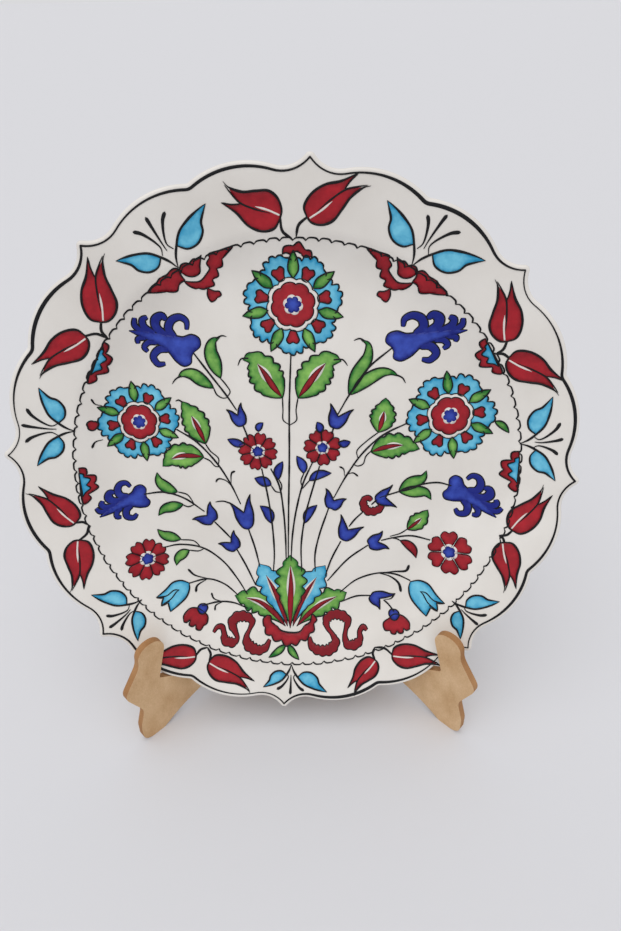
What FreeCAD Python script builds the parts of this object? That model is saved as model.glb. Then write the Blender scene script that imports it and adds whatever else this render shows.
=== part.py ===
"""Scalloped glazed plate on a folding plate stand.

The stand is two thin boards joined at their back edges by two small brass butt hinges.
It opens to a V, the plate's rim sits in the boards' seats behind their fingers, and its
foot ring leans on the boards' sloping edges.

The model stands on Z = 0 with the plate's face towards -Y. The origin is below the middle
of the whole object's box. All sizes are millimetres and degrees.
"""
import FreeCAD, Part
import os
from math import acos, asin, atan2, cos, degrees, hypot, radians, sin, sqrt, tan

from FreeCAD import Placement, Rotation, Vector

# Plate: outline of the rim
plate_across = 300.0        # over two opposite points
lobe_count = 8
crest_drop = 1.7            # how far each rounded crest lies inside the circle of the points
crest_share = 0.64          # place of the crest on the way from a point to a notch
crest_radius = 45.0
ogee_radius = 15.0          # hollow beside each point
point_radius = 2.5
notch_radius = 3.0
lip_radius = 1.5            # rounding of the rim's two edges

# Plate: section
wall = 5.0
plate_depth = 30.0          # from the foot ring's face to the rim
well_depth = 18.0
flange_angle = 15.0
well_wall_angle = 28.0
shoulder_at = 119.0         # radius where the flange turns down into the well
shoulder_radius = 15.0
sweep_radius = 40.0         # between the well's floor and its wall
foot_outer = 88.0
foot_width = 6.0
foot_chamfer = 1.0

# How the plate stands
lean = 18.0                 # the plate's face leans back this much
turn = -4.0                 # the plate as it happens to stand, turned in its own plane
rest_gap = 0.4              # between the foot ring and the boards' sloping edges
seat_gap = 0.7              # between the rim and the seats

# Boards: reach is measured from the hinge axis along the board, height from the table
half_opening = 46.0         # each board stands this far from straight ahead
board_thickness = 4.0
board_height = 115.0
seat_reach = 109.8          # where the rim's front edge crosses the board's outer face
seat_height = 45.0
back_edge = 1.5             # the board's back edge, ahead of the hinge axis
rear_foot = 16.0            # reach of the rear foot's front end
front_foot = 115.0          # reach of the front foot's back end
arch_rise = 13.0
gullet_height = 33.0        # low stretch between the support edge and the seat
support_tail = 12.0         # support edge below the place where the foot ring leans
finger_gap = 1.2            # between the rim and the finger at the seat
finger_lean = 18.0
finger_rise = 31.0          # finger's top above the seat

# Front edge of a board, up from the foot: (reach ahead of the seat, height, corner radius).
# The heights of the belly and the waist are above the seat, and the tip's is its finger's.
toe = (19.6, 0.0, 6.5)
instep = (19.2, 15.0, 12.0)
hollow = (14.8, 28.0, 9.0)
belly = (23.6, 2.5, 7.0)
waist = (11.2, 19.0, 12.0)
tip_reach = 10.2

# Roundings of a board's other corners
foot_round = 0.5
heel_round = 1.5
finger_round = 8.0          # both corners of a finger's tip
root_round = 2.0            # between the seat and the finger
seat_round = 10.0           # from the seat down to the gullet
gullet_round = 14.0
crown_round = 8.0           # top of the support edge
back_round = 4.0
arch_fit = 0.98             # the arch's radius is this share of the full arc's, to leave flat feet

# Hinges
hinge_height = 25.0
hinge_levels = (22.0, 78.0)     # lower end of each hinge
hinge_width = 13.0
knuckle_count = 5
leaf_thickness = 0.7
pin_radius = 1.0
pin_clearance = 0.05
knuckle_gap = 0.3
pin_head_radius = 1.5
pin_head_height = 1.2

# Hinge screws
screw_radius = 1.0
screw_length = 3.2
screw_head_radius = 2.0
screw_clearance = 0.05
screw_inset = 6.0           # from the hinge's ends
screw_reach = 8.2           # from the hinge axis
screw_tip_radius = 0.25

weld = 0.5                  # overlap of two shapes that are fused into one piece

knuckle_radius = pin_radius + pin_clearance + leaf_thickness
board_face = knuckle_radius     # the boards' inner faces touch the knuckles' cylinder


def polar(radius, angle):
    """Point in a plane from its radius and its angle in degrees."""
    return Vector(radius * cos(radians(angle)), radius * sin(radians(angle)), 0)


def towards(start, end, distance):
    """Point that lies this far from start on the way to end."""
    return start + (end - start).normalize() * distance


def arc(start, middle, end):
    return Part.Arc(start, middle, end).toShape()


def arc_about(centre, start, end):
    """The shorter arc about a centre from one point to another."""
    bulge = (start - centre) + (end - centre)
    return arc(start, centre + bulge.normalize() * (start - centre).Length, end)


# ---------------------------------------------------------------- plate outline

def rim_centres():
    """Centres of the four arcs of half a lobe, whose point lies on the X axis."""
    point = Vector(plate_across / 2 - point_radius, 0, 0)
    half_lobe = 180.0 / lobe_count
    crest = polar(plate_across / 2 - crest_drop - crest_radius, crest_share * half_lobe)
    # The hollow touches the point's arc and the crest's arc from outside.
    to_point = ogee_radius + point_radius
    to_crest = ogee_radius + crest_radius
    apart = (crest - point).Length
    along = (to_point ** 2 - to_crest ** 2 + apart ** 2) / (2 * apart)
    aside = sqrt(to_point ** 2 - along ** 2)
    way = (crest - point).normalize()
    ogee = point + way * along + Vector(way.y, -way.x, 0) * aside
    # The notch's arc lies on the line between two lobes.
    off = radians((1 - crest_share) * half_lobe)
    reach = crest.Length * cos(off) + sqrt(
        (crest_radius + notch_radius) ** 2 - (crest.Length * sin(off)) ** 2)
    return point, ogee, crest, polar(reach, half_lobe)


def rim_wire():
    """The closed outline of the rim, made of tangent arcs."""
    point, ogee, crest, notch = rim_centres()
    half_lobe = 180.0 / lobe_count
    joins = [towards(point, ogee, point_radius),
             towards(ogee, crest, ogee_radius),
             towards(crest, notch, crest_radius)]

    def placed(spot, side, lobe):
        mirrored = Vector(spot.x, side * spot.y, 0)
        return Rotation(Vector(0, 0, 1), lobe * 2 * half_lobe).multVec(mirrored)

    edges = []
    for lobe in range(lobe_count):
        tip = Vector(plate_across / 2, 0, 0)
        edges.append(arc(placed(joins[0], -1, lobe), placed(tip, 1, lobe), placed(joins[0], 1, lobe)))
        bottom = polar(notch.Length - notch_radius, half_lobe)
        edges.append(arc(placed(joins[2], 1, lobe), placed(bottom, 1, lobe), placed(joins[2], -1, lobe + 1)))
        for side in (1, -1):
            edges.append(arc_about(placed(ogee, side, lobe),
                                   placed(joins[0], side, lobe), placed(joins[1], side, lobe)))
            edges.append(arc_about(placed(crest, side, lobe),
                                   placed(joins[1], side, lobe), placed(joins[2], side, lobe)))
    return Part.Wire(Part.__sortEdges__(edges))


def rim_radius(angle):
    """Distance of the rim from the plate's centre, at an angle from one of its points."""
    point, ogee, crest, notch = rim_centres()
    half_lobe = 180.0 / lobe_count
    place = abs((angle + half_lobe) % (2 * half_lobe) - half_lobe)

    def bearing(spot):
        return degrees(atan2(spot.y, spot.x))

    if place < bearing(towards(point, ogee, point_radius)):
        centre, radius, side = point, point_radius, 1
    elif place < bearing(towards(ogee, crest, ogee_radius)):
        centre, radius, side = ogee, ogee_radius, -1
    elif place < bearing(towards(crest, notch, crest_radius)):
        centre, radius, side = crest, crest_radius, 1
    else:
        centre, radius, side = notch, notch_radius, -1
    off = radians(place - bearing(centre))
    across = centre.Length * sin(off)
    return centre.Length * cos(off) + side * sqrt(radius ** 2 - across ** 2)


# ---------------------------------------------------------------- plate body

def slope_normal(angle):
    """Unit normal, in the (radius, height) section, of a surface rising outwards at an angle."""
    return Vector(-sin(radians(angle)), 0, cos(radians(angle)))


def section_face():
    """Half of the plate's section, without the foot ring, out past the rim's points."""
    outside = plate_across / 2 + wall
    flat = radians(flange_angle)
    steep = radians(well_wall_angle)
    shoulder = Vector(shoulder_at, 0, -(plate_across / 2 - shoulder_at) * tan(flat))
    shoulder_centre = shoulder - slope_normal(flange_angle) * shoulder_radius
    wall_top = shoulder_centre + slope_normal(well_wall_angle) * shoulder_radius
    foot_of_wall = -well_depth + sweep_radius * (1 - cos(steep))
    run = (wall_top.z - foot_of_wall) / tan(steep)
    sweep_centre = Vector(wall_top.x - run - sweep_radius * sin(steep), 0, sweep_radius - well_depth)

    def surface(below):
        """The section's line at a depth below the face, from the rim to the axis."""
        def on_shoulder(angle):
            return shoulder_centre + slope_normal(angle) * (shoulder_radius - below)

        def on_sweep(angle):
            return sweep_centre - slope_normal(angle) * (sweep_radius + below)

        end = on_shoulder(flange_angle)
        rim = Vector(outside, 0, end.z + (outside - end.x) * tan(flat))
        axis = Vector(0, 0, -well_depth - below)
        return [rim, axis], [
            Part.LineSegment(rim, end).toShape(),
            arc_about(shoulder_centre, end, on_shoulder(well_wall_angle)),
            Part.LineSegment(on_shoulder(well_wall_angle), on_sweep(well_wall_angle)).toShape(),
            arc_about(sweep_centre, on_sweep(well_wall_angle), on_sweep(0)),
            Part.LineSegment(on_sweep(0), axis).toShape(),
        ]

    (face_rim, face_axis), front = surface(0)
    (back_rim, back_axis), back = surface(wall)
    ends = [Part.LineSegment(face_rim, back_rim).toShape(),
            Part.LineSegment(face_axis, back_axis).toShape()]
    return Part.Face(Part.Wire(Part.__sortEdges__(front + back + ends)))


def make_plate():
    """The plate, face up, with its rim's points on the plane Z = 0."""
    axis = Vector(0, 0, 1)
    dish = section_face().revolve(Vector(), axis, 360)
    cookie = Part.Face(rim_wire()).extrude(axis * (2 * plate_depth))
    cookie.translate(axis * -plate_depth)
    body = dish.common(cookie).Solids[0]
    narrowest = rim_radius(180.0 / lobe_count)
    lip = [edge for edge in body.Edges
           if min(hypot(v.X, v.Y) for v in edge.Vertexes) > narrowest - lip_radius
           and abs(edge.Vertexes[0].Z - edge.Vertexes[-1].Z) < wall / 2]
    body = body.makeFillet(lip_radius, lip)

    inner = foot_outer - foot_width
    root = -well_depth - wall / 2
    ring_section = Part.makePolygon([
        Vector(inner, 0, root),
        Vector(foot_outer, 0, root),
        Vector(foot_outer, 0, foot_chamfer - plate_depth),
        Vector(foot_outer - foot_chamfer, 0, -plate_depth),
        Vector(inner + foot_chamfer, 0, -plate_depth),
        Vector(inner, 0, foot_chamfer - plate_depth),
        Vector(inner, 0, root)])
    ring = Part.Face(ring_section).revolve(Vector(), axis, 360)
    return body.fuse(ring).removeSplitter()


# ---------------------------------------------------------------- plate against boards

def board_point(reach, height, inside=0.0):
    """Place of a point of the right board, inside being its depth below the inner face."""
    across = board_face + inside
    way = radians(half_opening)
    return Vector(reach * sin(way) + across * cos(way),
                  across * sin(way) - reach * cos(way), height)


def resting_radius(aside):
    """The rim's radius this far to the left or right of its middle, on the larger side."""
    low = degrees(asin(aside / (plate_across / 2)))
    return max(rim_radius(low - 90 - turn), rim_radius(-low - 90 - turn))


def plate_centre():
    """Centre of the rim's plane, so that the rim rests in the lower of its two seats."""
    seat = board_point(seat_reach, seat_height, board_thickness)
    drop = sqrt(resting_radius(seat.x) ** 2 - seat.x ** 2)
    back = radians(lean)
    return Vector(0, seat.y + drop * sin(back), seat.z + drop * cos(back))


def crossing(radius, depth, inside):
    """(reach, height) where a circle of the plate, some depth behind the rim, meets a board.

    The circle lies in a plane parallel to the rim, and the board is cut at a depth below
    its inner face. Of the two crossings this is the lower.
    """
    centre = plate_centre()
    way = radians(half_opening)
    back = radians(lean)
    across = board_face + inside
    start = across / cos(way) - tan(way) * (centre.y + depth * cos(back))
    slant = tan(way) * sin(back)
    size = 1 + slant ** 2
    up = (start * slant - sqrt((start * slant) ** 2 - size * (start ** 2 - radius ** 2))) / size
    behind = centre.y + up * sin(back) + depth * cos(back)
    reach = (across * sin(way) - behind) / cos(way)
    return reach, centre.z + up * cos(back) - depth * sin(back)


def rim_crossing(depth, inside):
    """(reach, height) where the rim's edge meets a board, at a depth behind the rim's face."""
    reach, height = crossing(plate_across / 2, depth, inside)
    aside = board_point(reach, height, inside).x
    return crossing(resting_radius(aside), depth, inside)


def support_reach(height):
    """Reach of the support edge, which is parallel to the plate's foot ring."""
    centre = plate_centre()
    way = radians(half_opening)
    back = radians(lean)
    depth = plate_depth + rest_gap
    behind = centre.y + (depth + (height - centre.z) * sin(back)) / cos(back)
    return (board_face * sin(way) - behind) / cos(way)


# ---------------------------------------------------------------- boards

def rounded_face(corners, plane_x):
    """Flat face, standing in a YZ plane, from corners given as (reach, height, radius)."""
    spots = [Vector(plane_x, -reach, height) for reach, height, _ in corners]
    edges = []
    starts = []
    ends = []
    for number, (_, _, radius) in enumerate(corners):
        here = spots[number]
        before = (spots[number - 1] - here).normalize()
        after = (spots[(number + 1) % len(spots)] - here).normalize()
        half_angle = acos(max(-1.0, min(1.0, before.dot(after)))) / 2
        run = radius / tan(half_angle)
        middle = here + (before + after).normalize() * (radius / sin(half_angle) - radius)
        starts.append(here + before * run)
        ends.append(here + after * run)
        edges.append(arc(starts[-1], middle, ends[-1]))
    for number in range(len(corners)):
        edges.append(Part.LineSegment(ends[number - 1], starts[number]).toShape())
    return Part.Face(Part.Wire(Part.__sortEdges__(edges)))


def board_corners():
    """The board's outline, round from the rear foot, as (reach, height, radius)."""
    outer_seat = seat_reach, seat_height
    inner_seat = rim_crossing(wall, 0)
    slope = atan2(outer_seat[1] - inner_seat[1], outer_seat[0] - inner_seat[0])
    seat_drop = seat_gap / cos(slope)
    root_reach = seat_reach + finger_gap
    root_height = seat_height + finger_gap * tan(slope) - seat_drop
    seat_low = inner_seat[0] - (inner_seat[1] - seat_drop - gullet_height) / tan(slope)
    finger_top = seat_height + finger_rise
    finger_back = root_reach - (finger_top - root_height) * tan(radians(finger_lean))
    lean_height = crossing(foot_outer, plate_depth, 0)[1] - support_tail
    middle = (rear_foot + front_foot) / 2
    half_span = (front_foot - rear_foot) / 2
    # An arch of this rise between the feet, as one corner with a large radius.
    arch_radius = (half_span ** 2 + arch_rise ** 2) / (2 * arch_rise) * arch_fit
    arch_peak = arch_rise * 2 / (1 - (arch_rise / half_span) ** 2)
    return [
        (back_edge, 0, heel_round),
        (rear_foot, 0, foot_round),
        (middle, arch_peak, arch_radius),
        (front_foot, 0, foot_round),
        (seat_reach + toe[0], toe[1], toe[2]),
        (seat_reach + instep[0], instep[1], instep[2]),
        (seat_reach + hollow[0], hollow[1], hollow[2]),
        (seat_reach + belly[0], seat_height + belly[1], belly[2]),
        (seat_reach + waist[0], seat_height + waist[1], waist[2]),
        (seat_reach + tip_reach, finger_top, finger_round),
        (finger_back, finger_top, finger_round),
        (root_reach, root_height, root_round),
        (seat_low, gullet_height, seat_round),
        (support_reach(gullet_height), gullet_height, gullet_round),
        (support_reach(board_height), board_height, crown_round),
        (back_edge, board_height, back_round),
    ]


def make_board():
    """The right board, closed, lying along -Y, with pilot holes for its hinge screws."""
    board = rounded_face(board_corners(), board_face).extrude(Vector(board_thickness, 0, 0))
    for place in screw_places():
        hole = Part.makeCylinder(screw_radius + screw_clearance, screw_length + screw_clearance,
                                 place, Vector(1, 0, 0))
        board = board.cut(hole)
    return board


# ---------------------------------------------------------------- hinges

def screw_places():
    """Where the screws of one board stand on its inner face, with the board closed."""
    return [Vector(board_face, -screw_reach, level + offset)
            for level in hinge_levels
            for offset in (screw_inset, hinge_height - screw_inset)]


def make_hinge_leaf(level, first_knuckle):
    """The right leaf of the hinge at a level, closed; it has every second knuckle."""
    inner = board_face - leaf_thickness
    pitch = hinge_height / knuckle_count
    clear = knuckle_radius + knuckle_gap
    plate = Part.makeBox(leaf_thickness, hinge_width - clear, hinge_height,
                         Vector(inner, -hinge_width, level))
    for number in range(first_knuckle, knuckle_count, 2):
        low = level + number * pitch + knuckle_gap / 2
        tall = pitch - knuckle_gap
        strip = Part.makeBox(leaf_thickness, clear + weld, tall, Vector(inner, -clear - weld, low))
        barrel = Part.makeCylinder(knuckle_radius, tall, Vector(0, 0, low))
        bore = Part.makeCylinder(pin_radius + pin_clearance, tall, Vector(0, 0, low))
        plate = plate.fuse(strip).fuse(barrel).cut(bore)
    for place in screw_places():
        if level < place.z < level + hinge_height:
            plate = plate.cut(countersink(place))
    return plate.removeSplitter()


def countersink(place):
    """The hole in a hinge leaf for one screw: a cone that ends in the shank's hole."""
    mouth = place - Vector(leaf_thickness, 0, 0)
    cone = Part.makeCone(screw_head_radius + screw_clearance, screw_radius + screw_clearance,
                         leaf_thickness, mouth, Vector(1, 0, 0))
    return cone


def make_screw(place):
    """A countersunk screw whose head is flush with the hinge leaf."""
    mouth = place - Vector(leaf_thickness, 0, 0)
    head = Part.makeCone(screw_head_radius, screw_radius, leaf_thickness, mouth, Vector(1, 0, 0))
    shank = Part.makeCylinder(screw_radius, screw_length - screw_radius, place, Vector(1, 0, 0))
    tip = Part.makeCone(screw_radius, screw_tip_radius, screw_radius,
                        place + Vector(screw_length - screw_radius, 0, 0), Vector(1, 0, 0))
    return head.fuse(shank).fuse(tip).removeSplitter()


def make_pin(level):
    """A hinge pin with a low head at each end."""
    pin = Part.makeCylinder(pin_radius, hinge_height, Vector(0, 0, level))
    for low in (level - pin_head_height, level + hinge_height):
        pin = pin.fuse(Part.makeCylinder(pin_head_radius, pin_head_height, Vector(0, 0, low)))
    return pin.removeSplitter()


# ---------------------------------------------------------------- assembly

def opened(shape):
    """A piece of the right board, turned from closed to its place in the open stand."""
    return shape.copy().rotate(Vector(), Vector(0, 0, 1), half_opening)


def mirrored(shape):
    return shape.mirror(Vector(), Vector(1, 0, 0))


def make_parts():
    parts = {}
    plate = make_plate()
    stand = Rotation(Vector(1, 0, 0), 90 - lean)
    in_plane = Rotation(Vector(0, 0, 1), 90 + turn)
    plate.Placement = Placement(plate_centre(), stand.multiply(in_plane))
    parts["plate"] = plate

    board = make_board()
    parts["right_board"] = opened(board)
    parts["left_board"] = mirrored(opened(board))

    for name, level in zip(("lower", "upper"), hinge_levels):
        parts[name + "_hinge_right_leaf"] = opened(make_hinge_leaf(level, 1))
        parts[name + "_hinge_left_leaf"] = mirrored(opened(make_hinge_leaf(level, 0)))
        parts[name + "_hinge_pin"] = make_pin(level)

    screws = Part.makeCompound([opened(make_screw(place)) for place in screw_places()])
    parts["right_hinge_screws"] = screws
    parts["left_hinge_screws"] = mirrored(screws)
    return parts


def main():
    parts = make_parts()
    box = Part.makeCompound(list(parts.values())).optimalBoundingBox()
    shift = Vector(-(box.XMin + box.XMax) / 2, -(box.YMin + box.YMax) / 2, 0)
    os.makedirs("parts", exist_ok=True)
    for name, shape in parts.items():
        shape.translate(shift)
        shape.exportStep("parts/" + name + ".step")
        print(name, "solids", len(shape.Solids), "valid", shape.isValid(),
              "volume", round(shape.Volume, 2))
    front = board_point((front_foot + seat_reach + toe[0] - toe[2]) / 2, 0, board_thickness / 2) + shift
    rear = board_point((back_edge + rear_foot) / 2, 0, board_thickness / 2) + shift
    centre = plate_centre() + shift
    print("box", box)
    print("hinge axis", [round(v, 3) for v in shift])
    print("plate centre", [round(v, 3) for v in centre])
    print("front foot", [round(v, 3) for v in front])
    print("rear foot", [round(v, 3) for v in rear])


main()
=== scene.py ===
"""Hand painted plate on a folding stand: glaze, brushwork, fibreboard, brass and the stage.

The plate is drawn in its own plane, in millimetres: X to its right, Y to its top, and the
middle of the rim at (0, 0). Every painted shape is a thin film of colour laid on the plate's
face, with the same section as the plate's own body.
"""
import math

import bmesh
import bpy
import numpy as np
from bpy.props import FloatProperty, FloatVectorProperty, IntProperty, PointerProperty
from mathutils import Matrix, Vector
from mathutils.geometry import delaunay_2d_cdt


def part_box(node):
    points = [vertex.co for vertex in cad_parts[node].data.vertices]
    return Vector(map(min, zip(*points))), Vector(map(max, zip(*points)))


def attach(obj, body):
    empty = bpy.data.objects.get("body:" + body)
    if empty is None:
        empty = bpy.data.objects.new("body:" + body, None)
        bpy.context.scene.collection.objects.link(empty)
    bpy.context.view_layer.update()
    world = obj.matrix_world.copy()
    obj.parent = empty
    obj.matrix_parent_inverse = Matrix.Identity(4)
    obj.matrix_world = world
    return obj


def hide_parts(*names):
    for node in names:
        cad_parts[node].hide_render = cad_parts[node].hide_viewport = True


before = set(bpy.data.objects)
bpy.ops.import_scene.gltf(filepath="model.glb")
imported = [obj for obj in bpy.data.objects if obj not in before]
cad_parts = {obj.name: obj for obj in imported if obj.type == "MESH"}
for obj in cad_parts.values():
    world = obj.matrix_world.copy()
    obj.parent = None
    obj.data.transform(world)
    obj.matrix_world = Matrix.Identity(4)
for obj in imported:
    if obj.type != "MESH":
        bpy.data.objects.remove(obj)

bl_info = {
    "name": "Painted plate on a folding stand",
    "version": (1, 0, 0),
    "blender": (4, 5, 0),
    "location": "3D View > Sidebar > Plate",
    "description": "Glazes and paints a lobed plate and finishes its fibreboard stand",
    "category": "Object",
}

MM = 0.001

# Rim outline, in millimetres
LOBES = 8
ACROSS = 300.0                      # over two opposite points
CREST_DROP = 1.7                    # how much nearer the axis a crest is than a point
CREST_SHARE = 0.64                  # where a crest lies between its point and the notch, as a share
CREST_RADIUS = 45.0
OGEE_RADIUS = 15.0                  # of the hollow between a point and a crest
POINT_RADIUS = 2.5
NOTCH_RADIUS = 3.0
LIP_RADIUS = 1.5                    # of the rim's rounded edge

# Section, in millimetres
WALL = 5.0                          # thickness
DEPTH = 30.0                        # from the rim to the underside of the foot ring
WELL = 18.0                         # from the rim to the face of the well
FLANGE_SLOPE = math.radians(15)
WALL_SLOPE = math.radians(28)       # of the face between shoulder and well
SHOULDER_AT = 119.0                 # where the flange ends and the bend to the wall begins
SHOULDER_RADIUS = 15.0              # of that bend
SWEEP_RADIUS = 40.0                 # of the bend from the wall to the well
FOOT_OUTER = 88.0
FOOT_WIDTH = 6.0
FOOT_CHAMFER = 1.0

# The skin's mesh, in millimetres
BEND_STEP = 0.7                     # spacing of its rows on the bends
FLAT_STEP = 6.0                     # and elsewhere
HUB = 2.0                           # radius of the flat disc in its middle
LOBED_FROM = SHOULDER_AT + 5.0      # its rows follow the lobes outside this radius
FLANGE_ROWS = 5                     # on each side, outside that radius
LIP_ROWS = 7                        # round the face's side of the rim's edge
STANDING_ROW = -11                  # the row that the plate stands on, counted from the last

# Stance
LEAN = math.radians(18)
LOBE_TURN = math.radians(-4)        # of the lobes, from a point at the very top
PAINT_TURN = math.radians(-1.6)     # of the painting
HALF_OPENING = math.radians(46)     # of the stand


# ---------------------------------------------------------------- small tools

def linear(code):
    """Linear colour, opaque, from an sRGB hex code."""
    parts = [int(code[i:i + 2], 16) / 255 for i in (1, 3, 5)]
    return [v / 12.92 if v <= 0.04045 else ((v + 0.055) / 1.055) ** 2.4 for v in parts] + [1.0]


def polar(radius, angle):
    """A point at a distance and an angle from (0, 0)."""
    return Vector((radius * math.cos(angle), radius * math.sin(angle)))


def piece_from(name, mesh_maker, materials, body):
    """A new object whose mesh is filled by mesh_maker(bm), riding on a body of the frame."""
    bm = bmesh.new()
    mesh_maker(bm)
    mesh = bpy.data.meshes.new(name)
    bm.to_mesh(mesh)
    bm.free()
    for material in materials:
        mesh.materials.append(material)
    piece = bpy.data.objects.new(name, mesh)
    bpy.context.scene.collection.objects.link(piece)
    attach(piece, body)
    return piece


# ---------------------------------------------------------------- settings

class PlateSizes(bpy.types.PropertyGroup):
    """Sizes that can be changed before the pieces are made"""
    coat: FloatProperty(name="Coat", description="Height of each coat of paint over the last",
        default=0.00005, min=0.00003, max=0.0002, precision=5, unit="LENGTH")
    rim_line: FloatProperty(name="Rim line", description="Mean width of the black line inside the rim",
        default=0.0012, min=0.0004, max=0.004, precision=4, unit="LENGTH")
    ring_radius: FloatProperty(name="Ring radius", description="Radius of the scalloped ring round the well",
        default=0.1185, min=0.1, max=0.125, precision=4, unit="LENGTH")
    ring_scallops: IntProperty(name="Ring scallops", description="Number of brush strokes in the ring",
        default=118, min=24, max=240)
    board_edge: FloatProperty(name="Board edges", description="Width of the wear on the boards' edges",
        default=0.0003, min=0.0, max=0.001, precision=4, unit="LENGTH")
    metal_edge: FloatProperty(name="Hinge edges", description="Width of the wear on the hinges' edges",
        default=0.0001, min=0.0, max=0.0004, precision=4, unit="LENGTH")
    floor_radius: FloatProperty(name="Floor radius", description="How far the floor reaches",
        default=40.0, min=5.0, max=200.0, unit="LENGTH")


def swatch(name, description, code):
    """A colour that can be changed before the pieces are made, from an sRGB hex code."""
    return FloatVectorProperty(name=name, description=description, subtype="COLOR", size=4,
                               min=0, max=1, default=linear(code))


class PlateColours(bpy.types.PropertyGroup):
    """Colours of the glaze, the paints, the stand and the floor"""
    glaze: swatch("Glaze", "White glaze", "#E6E2DC")
    glaze_shade: swatch("Glaze shade", "White glaze where it is thinner", "#DAD5CE")
    red_pooled: swatch("Red, pooled", "Red where the brush left most of it", "#7C0F1C")
    red_thin: swatch("Red, thin", "Red where it is brushed thin", "#AE1F2B")
    cobalt_pooled: swatch("Cobalt, pooled", "Cobalt blue where the brush left most of it", "#14217C")
    cobalt_thin: swatch("Cobalt, thin", "Cobalt blue where it is brushed thin", "#3C55BC")
    turquoise_pooled: swatch("Turquoise, pooled", "Turquoise where the brush left most of it", "#2590BC")
    turquoise_thin: swatch("Turquoise, thin", "Turquoise where it is brushed thin", "#7CCDE6")
    green_pooled: swatch("Green, pooled", "Green where the brush left most of it", "#1A6A28")
    green_thin: swatch("Green, thin", "Green where it is brushed thin", "#8CC25E")
    black_pooled: swatch("Black, pooled", "Black of the outlines", "#0B0C10")
    black_thin: swatch("Black, thin", "Black where it is brushed thin", "#16171B")
    white_pooled: swatch("White, shaded", "White of the gaps, in shade", "#DCD6D0")
    white_thin: swatch("White", "White of the gaps", "#EAE6E1")
    board: swatch("Fibreboard", "Face of the boards", "#DBBA92")
    board_fleck: swatch("Fibreboard flecks", "Darker fibres in the boards", "#BD966A")
    brass: swatch("Brass", "Hinges and screws", "#C9A256")
    floor: swatch("Floor", "Paper that everything stands on", "#D6D6D9")


# ---------------------------------------------------------------- the plate's shape

def rim_centres():
    """Centres of the arcs of half a lobe, whose point lies at angle 0."""
    half_lobe = math.pi / LOBES
    point = Vector((ACROSS / 2 - POINT_RADIUS, 0))
    crest = polar(ACROSS / 2 - CREST_DROP - CREST_RADIUS, CREST_SHARE * half_lobe)
    to_point = OGEE_RADIUS + POINT_RADIUS
    to_crest = OGEE_RADIUS + CREST_RADIUS
    gap = crest - point
    along = (to_point ** 2 - to_crest ** 2 + gap.length ** 2) / (2 * gap.length)
    aside = math.sqrt(to_point ** 2 - along ** 2)
    way = gap.normalized()
    ogee = point + way * along + Vector((way.y, -way.x)) * aside
    off = (1 - CREST_SHARE) * half_lobe
    reach = crest.length * math.cos(off) + math.sqrt(
        (CREST_RADIUS + NOTCH_RADIUS) ** 2 - (crest.length * math.sin(off)) ** 2)
    return point, ogee, crest, polar(reach, half_lobe)


def rim_outline(turn):
    """(place, outward direction) of points round the rim, with a lobe's point near the top."""
    half_lobe = math.pi / LOBES
    point, ogee, crest, notch = rim_centres()
    joins = [point + (ogee - point).normalized() * POINT_RADIUS,
             ogee + (crest - ogee).normalized() * OGEE_RADIUS,
             crest + (notch - crest).normalized() * CREST_RADIUS]
    tip = Vector((ACROSS / 2, 0))
    bottom = polar(notch.length - NOTCH_RADIUS, half_lobe)
    # centre, start and end of each arc, 1 where it bulges or -1 where it is hollow, number of points
    runs = [(point, tip, joins[0], 1, 5), (ogee, joins[0], joins[1], -1, 10),
            (crest, joins[1], joins[2], 1, 22), (notch, joins[2], bottom, -1, 4)]
    half = []
    for centre, start, end, side, count in runs:
        first = (start - centre).normalized()
        angle = first.angle_signed((end - centre).normalized(), 0)
        for number in range(count):
            arm = first.copy()
            arm.rotate(Matrix.Rotation(-angle * number / count, 2))
            radius = (start - centre).length
            half.append((centre + arm * radius, arm * side))
    half.append((bottom, polar(1, half_lobe)))
    mirrored = [(Vector((p.x, -p.y)), Vector((d.x, -d.y))) for p, d in half[1:-1]]
    lobe = mirrored[::-1] + half
    ring = []
    for number in range(LOBES):
        spin = Matrix.Rotation(math.pi / 2 + turn + number * 2 * half_lobe, 2)
        ring += [(spin @ p, spin @ d) for p, d in lobe]
    return ring


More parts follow.
